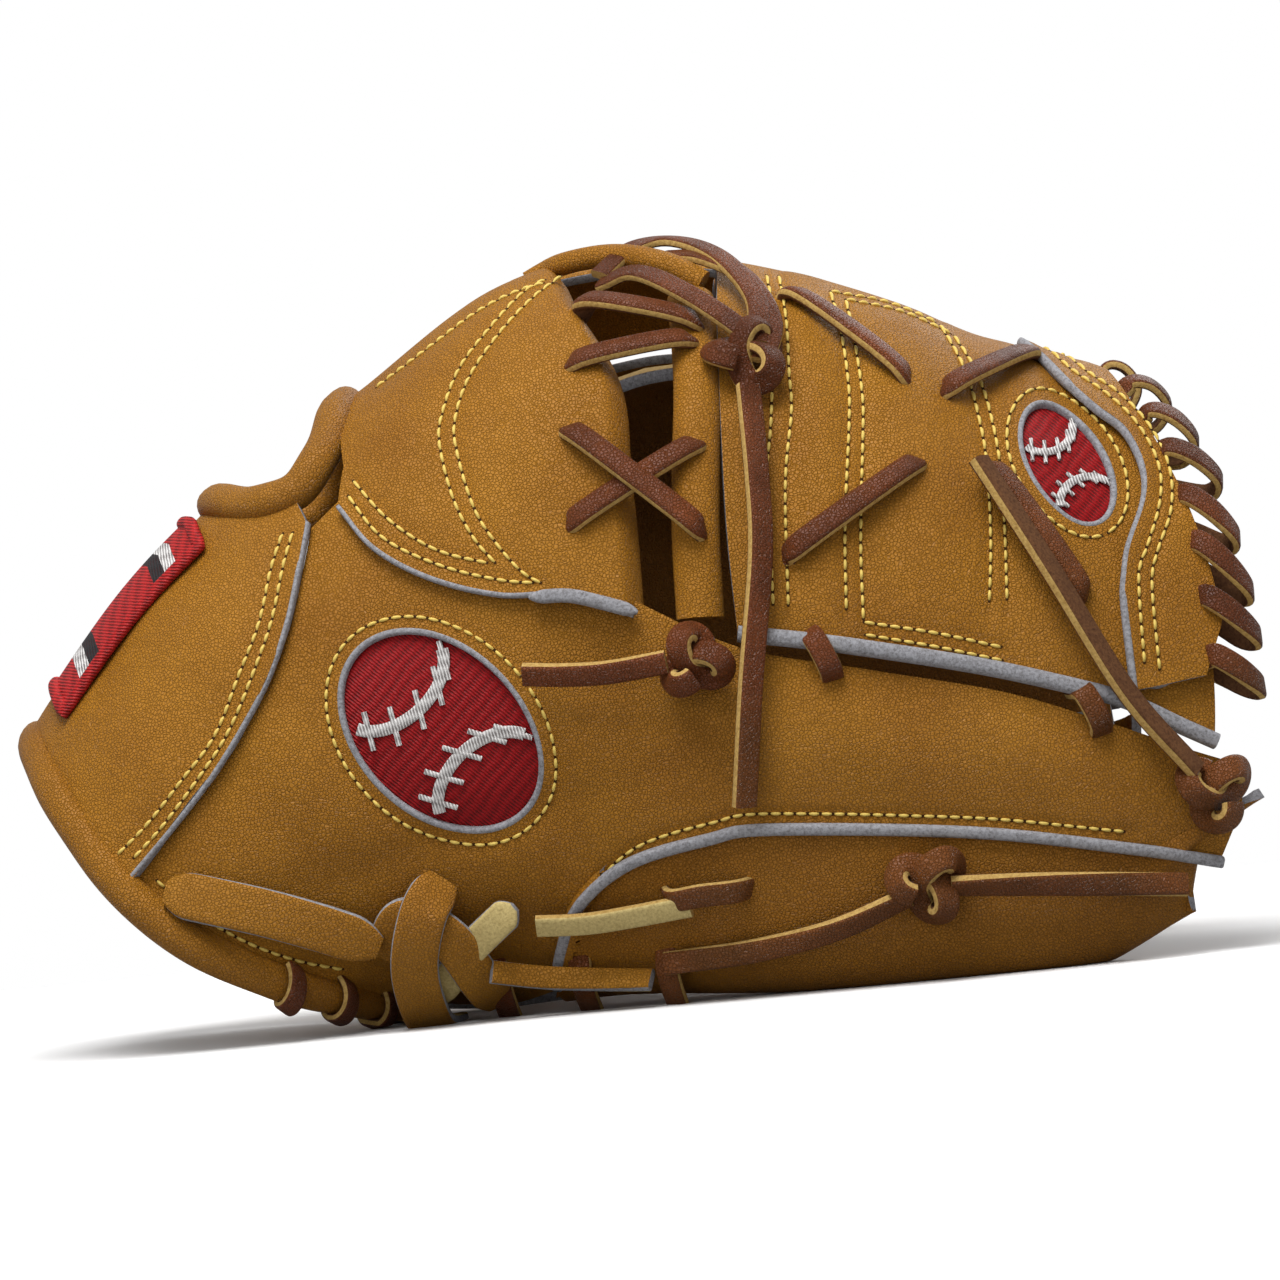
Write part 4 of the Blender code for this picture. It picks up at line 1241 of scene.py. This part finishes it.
# ---------------------------------------------------------------------------
# The laces. Latigo rawhide cut in flat 5.5 mm strips: dark red-brown and waxy
# on the grain side, yellow on the cut sides, pale and fuzzy underneath.
LACE = 5.6
LACE_THICK = 2.3
lace_hide = hide("lace_hide", (0.205, 0.054, 0.015), (0.05, 0.012, 0.004), 1.0, 0.32)
lace_side = raw("lace_side", (0.56, 0.37, 0.12), (0.30, 0.16, 0.04), 0.5)
lace_flesh = raw("lace_flesh", (0.16, 0.07, 0.028), (0.06, 0.022, 0.01), 0.8)
pale_flesh = raw("pale_flesh", (0.66, 0.52, 0.22), (0.42, 0.30, 0.11), 0.8)
tan_hide = hide("tan_hide", (0.44, 0.19, 0.014), (0.28, 0.10, 0.005), 0.6)
BROWN = [lace_hide, lace_side, lace_flesh]
TAN_EDGED = [tan_hide, cut_edge, pale_flesh]
FLESH = [pale_flesh, lace_side, lace_hide]


def lace(name, marks, how, node=None, paints=BROWN, count=60, width=LACE, thick=LACE_THICK, twist=None,
         fillet=0.32, taper=0.0):
    path, ups = lie(marks, count)
    if twist:
        for n in range(count):
            t = n / (count - 1)
            onward = (path[min(n + 1, count - 1)] - path[max(n - 1, 0)]).normalized()
            across = ups[n].cross(onward).normalized()
            angle = math.radians(twist[0] + (twist[1] - twist[0]) * t)
            ups[n] = ups[n] * math.cos(angle) + across * math.sin(angle)
    return ribbon(name, path, ups, width, thick, paints, how, [node] if node else [], fillet,
                  taper=taper), path


def bar(name, a, b, node, rise=2.2):
    """A short stitch of lace that goes down through the leather at both ends."""
    marks = []
    for t, lift in ((-0.07, -5), (0.0, -1.4), (0.09, rise), (0.5, rise + 0.9), (0.91, rise), (1.0, -1.4),
                    (1.07, -5)):
        marks.append((a[0] + (b[0] - a[0]) * t, a[1] + (b[1] - a[1]) * t, lift))
    lace(name, marks, "fork", node, width=6.0, thick=3.3, twist=(16, 16), fillet=0.5, taper=0.4)


bar("bar_strip_a", (47, 168), (73, 144), "bar_lace_a")
bar("bar_strip_b", (82, 140), (105, 147), "bar_lace_b", 2.8)
bar("bar_strip_c", (40, 105), (73, 123.5), "bar_lace_c")
bar("bar_strip_d", (90, 121), (109, 88), "bar_lace_d", 2.6)
bar("cross_strip_a", (-3, 170), (24, 162), "cross_lace_a", 2.6)
bar("cross_strip_b", (-7, 155), (22, 158), "cross_lace_b", 2.6)
bar("cross_strip_d", (-11, 117), (21, 133), "cross_lace_d", 2.4)
bar("cross_strip_c", (-9, 139), (20, 112), "cross_lace_c", 4.6)

for name, marks in (
    ("fork_lace_over", [(2, 177, 0.5), (11, 181.5, 2.6), (21, 181, 3.6), (31, 174, 5.0), (38, 163, 5.2),
                        (37, 153, 5)]),
    ("fork_lace_under", [(2, 176, -1), (11, 174, 3.4), (22, 166, 5.6), (33, 157, 5.5), (38, 152, 4.5)]),
    ("fork_lace_side", [(18, 180, 1.0), (27, 176, 3.6), (36, 169, 4.8), (41, 158, 4.8), (38, 149, 4.4)]),
):
    lace(name, marks, "fork")
for n, (x, z) in enumerate([(-57, 7), (-38, 6), (-18, 7), (3, 7)]):
    lace(f"heel_wrap_{n}", [(x - 2, z + 7, -3), (x - 1, z + 4, 2.0), (x, z, 3.2), (x + 1, z - 5, 2.6)],
         "side", count=30)
for n, (x, z) in enumerate([(45.5, 82), (108, 62.5)]):
    lace(f"web_join_{n}", [(x - 3, z + 4, -4), (x - 2, z + 2.5, 1.6), (x, z - 2, 2.6), (x + 1.5, z - 6, 1.4),
                           (x + 2, z - 8, -4)], "fork", count=30)
lace("low_hump", [(2, 26, -4), (5, 26.5, 2.5), (12, 27.5, 4.2), (20, 27, 2.4), (24, 26, -4)], "side",
     count=30)

# The lace that whips the web's top panel to the finger side, in eight turns.
EDGE_HOLES = [(122, 143), (126, 136), (129.5, 129), (132, 120), (134.5, 109), (136, 98), (136.5, 85),
              (137, 71)]
EDGE_ENDS = [(131, 139), (137, 131.5), (141.5, 122), (145.5, 112), (147.5, 98), (149, 85), (149.5, 74),
             (149, 62)]
marks = []
for n, (inner, outer_end) in enumerate(zip(EDGE_HOLES, EDGE_ENDS)):
    for t, lift, turn in ((0.0, -2.0, -50), (0.1, 3.6, -12), (0.55, 4.4, 12), (1.0, 0.6, 70),
                          (0.9, -6.0, 130),
                          (0.3, -9.0, 200)):
        marks.append((len(marks), inner[0] + (outer_end[0] - inner[0]) * t,
                      inner[1] + (outer_end[1] - inner[1]) * t,
                      lift, turn + 360 * n))
count = 8 * 40
path, ups = [], []
for n in range(count + 1):
    x, z, lift, turn = eased(marks, (len(marks) - 1) * n / count)
    s, u = locate(x, z)
    out = outward(s, u)
    forward = (form(s + 0.01, u) - form(s - 0.01, u)).normalized()
    path.append(skin(s, u, -lift))
    ups.append(out * math.cos(math.radians(turn)) + forward * math.sin(math.radians(turn)))
ribbon("edge_lace_strip", path, ups, 5.6, 2.3, BROWN, "fork", ["edge_lace"], 0.3)

# The lace whipped round the heel of the thumb, and the one through the tips.
path, ups = [], []
for n in range(201):
    k = n / 200
    u = 0.985 - 0.31 * k
    angle = 2 * math.pi * 3.5 * k
    centre, out = wrist_ring(math.pi * (u + 1))
    inward = (skin(0.1, u, 4.3) - skin(0.0, u, 4.3)).normalized()
    path.append(centre + out * (5.9 * math.sin(angle)) - inward * (5.9 * math.cos(angle)))
    path[-1].z = max(path[-1].z, 1.4)
    ups.append(out * math.sin(angle) - inward * math.cos(angle))
ribbon("heel_lace_strip", path, ups, 5.2, 2.0, BROWN, "side", ["heel_lace"], 0.35)
path = [skin(0.86, -0.09 - 0.76 * n / 100, 13.5 + 2.5 * math.sin(n * 0.3)) for n in range(101)]
ribbon("fingertip_lace_strip", path, [Vector((0.3, 0, -1))] * 101, LACE, LACE_THICK, BROWN, "hand",
       ["fingertip_lace"])

# Knots. A thumb knot in each lace end, pulled flat against the leather.
KNOT_LIFT = 4.2
KNOT_WIDTH = 6.2
KNOT_THICK = 2.9


def knot(name, spot, size, how, node, lean):
    s, u = locate(*spot)
    up = outward(s, u)
    one = Vector((math.cos(lean), 0, math.sin(lean)))
    one = (one - up * one.dot(up)).normalized()
    two = up.cross(one)
    centre = skin(s, u, -KNOT_LIFT)
    path, ups = [], []
    for n in range(121):
        t = 0.35 + (2 * math.pi - 0.7) * n / 120
        x, y = math.sin(t) + 1.75 * math.sin(2 * t), math.cos(t) - 1.75 * math.cos(2 * t)
        path.append(centre + (one * x + two * y) * size / 2.75 - up * (2.4 * math.sin(3 * t)))
        ups.append(up + (one * x + two * y).normalized() * 0.75)
    ribbon(name, path, ups, KNOT_WIDTH, KNOT_THICK, BROWN, how, [node], 0.35)


knot("web_knot_strip", (35, 151.5), 8.8, "fork", "web_knot", lean=0.5)
knot("gap_knot_strip", (15.5, 81.5), 7.2, "side", "gap_knot", lean=1.2)
knot("tip_knot_strip", (134.5, 39), 8.0, "thumb", "tip_knot", lean=2.1)
knot("low_knot_strip", (65, 24.5), 8.0, "thumb", "low_knot", lean=0.2)
lace("strap_knot_turn", [(-50, 35, -1), (-55, 31, 6.5), (-59, 20, 9.0), (-57, 8, 7.5), (-52, 2, 2.0)], "side",
     "strap_knot", TAN_EDGED, width=11.5, thick=3.0, twist=(-14, 10), taper=0.3)
lace("strap_knot_cross", [(-66, 20, 2.0), (-60, 29, 4.0), (-50, 25, 6.0), (-43, 14, 5.6), (-40, 6, 2.0)],
     "side",
     None, TAN_EDGED, width=10.5, thick=3.0, twist=(12, 24), taper=0.3)
lace("strap_knot_under", [(-62, 8, 1.0), (-54, 12, 4.6), (-46, 20, 4.6), (-38, 26, 4.2), (-33, 29, 3.0)],
     "side",
     None, [pale_flesh, cut_edge, cut_edge], width=8.0, thick=2.6, twist=(0, 28), taper=0.7)


# Loose ends. Each hangs from its knot; its length is worked out but not used.
def tail(name, marks, how, node, paints=BROWN, twist=None, width=LACE, thick=LACE_THICK):
    made, path = lace(name, marks, how, node, paints, 90, width, thick, twist)
    length = sum((b - a).length for a, b in zip(path, path[1:])) * MM


tail("web_tail_strip", [(34, 143, 5.5), (34, 122, 5.0), (33, 104, 4.6), (28, 75, 4.8), (24, 47, 4.2)],
     "fork", "web_tail", BROWN, (22, 34), width=6.0, thick=3.0)
tail("gap_tail_strip", [(9, 82, 5), (-5, 81, 4.4), (-16, 81.5, 4.2), (-25, 82.5, 4.0)], "side", "gap_tail",
     twist=(18, 30), thick=2.9)
tail("tip_tail_strip", [(130, 44, 5), (116, 63, 4.6), (101, 92, 5.8), (86, 120, 6.2)], "fork", "tip_tail",
     [lace_flesh, lace_side, lace_hide], (-38, -30), thick=3.2)
tail("low_tail_strip_a", [(70, 23.5, 4.4), (90, 21.5, 3.6), (109, 19.5, 3.4), (125, 18, 4.2)], "thumb",
     "low_tail_a",
     twist=(-40, 25), thick=2.8)
tail("low_tail_strip_b", [(60, 22, 4.2), (42, 15.5, 2.6), (22, 12.5, 2.6), (2, 12, 3.2)], "thumb",
     "low_tail_b",
     twist=(35, -30), thick=2.8)
tail("flesh_tail_strip", [(9, 25, 3.0), (-4, 24, 3.2), (-16, 23.5, 3.4), (-28, 24.5, 4.0)], "side",
     "flesh_tail",
     FLESH)
tail("strap_tail_strip", [(-40, 17, 7.0), (-27, 13, 5.0), (-14, 11, 4.6), (-1, 9.5, 4.6)], "side",
     "strap_tail",
     TAN_EDGED, (50, 75), thick=2.6)

path, ups = lie([(-116, 39.5, 0.8), (-105, 36.5, 2.4), (-93, 33, 3.2), (-80, 28.5, 3.8), (-67, 23.5, 4.6)],
                60)
for n, up in enumerate(ups):
    onward = (path[min(n + 1, 59)] - path[max(n - 1, 0)]).normalized()
    ups[n] = up + up.cross(onward).normalized() * 0.25
ribbon("strap_flap_strip", path, ups, 11.5, 2.8, [tan_hide, cut_edge, cut_edge], "side",
       ["strap_flap"],
       taper=0.5)
for node in ("thumb_loop", "pinky_loop"):
    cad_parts[node].data.materials.clear()
    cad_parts[node].data.materials.append(tan_hide)
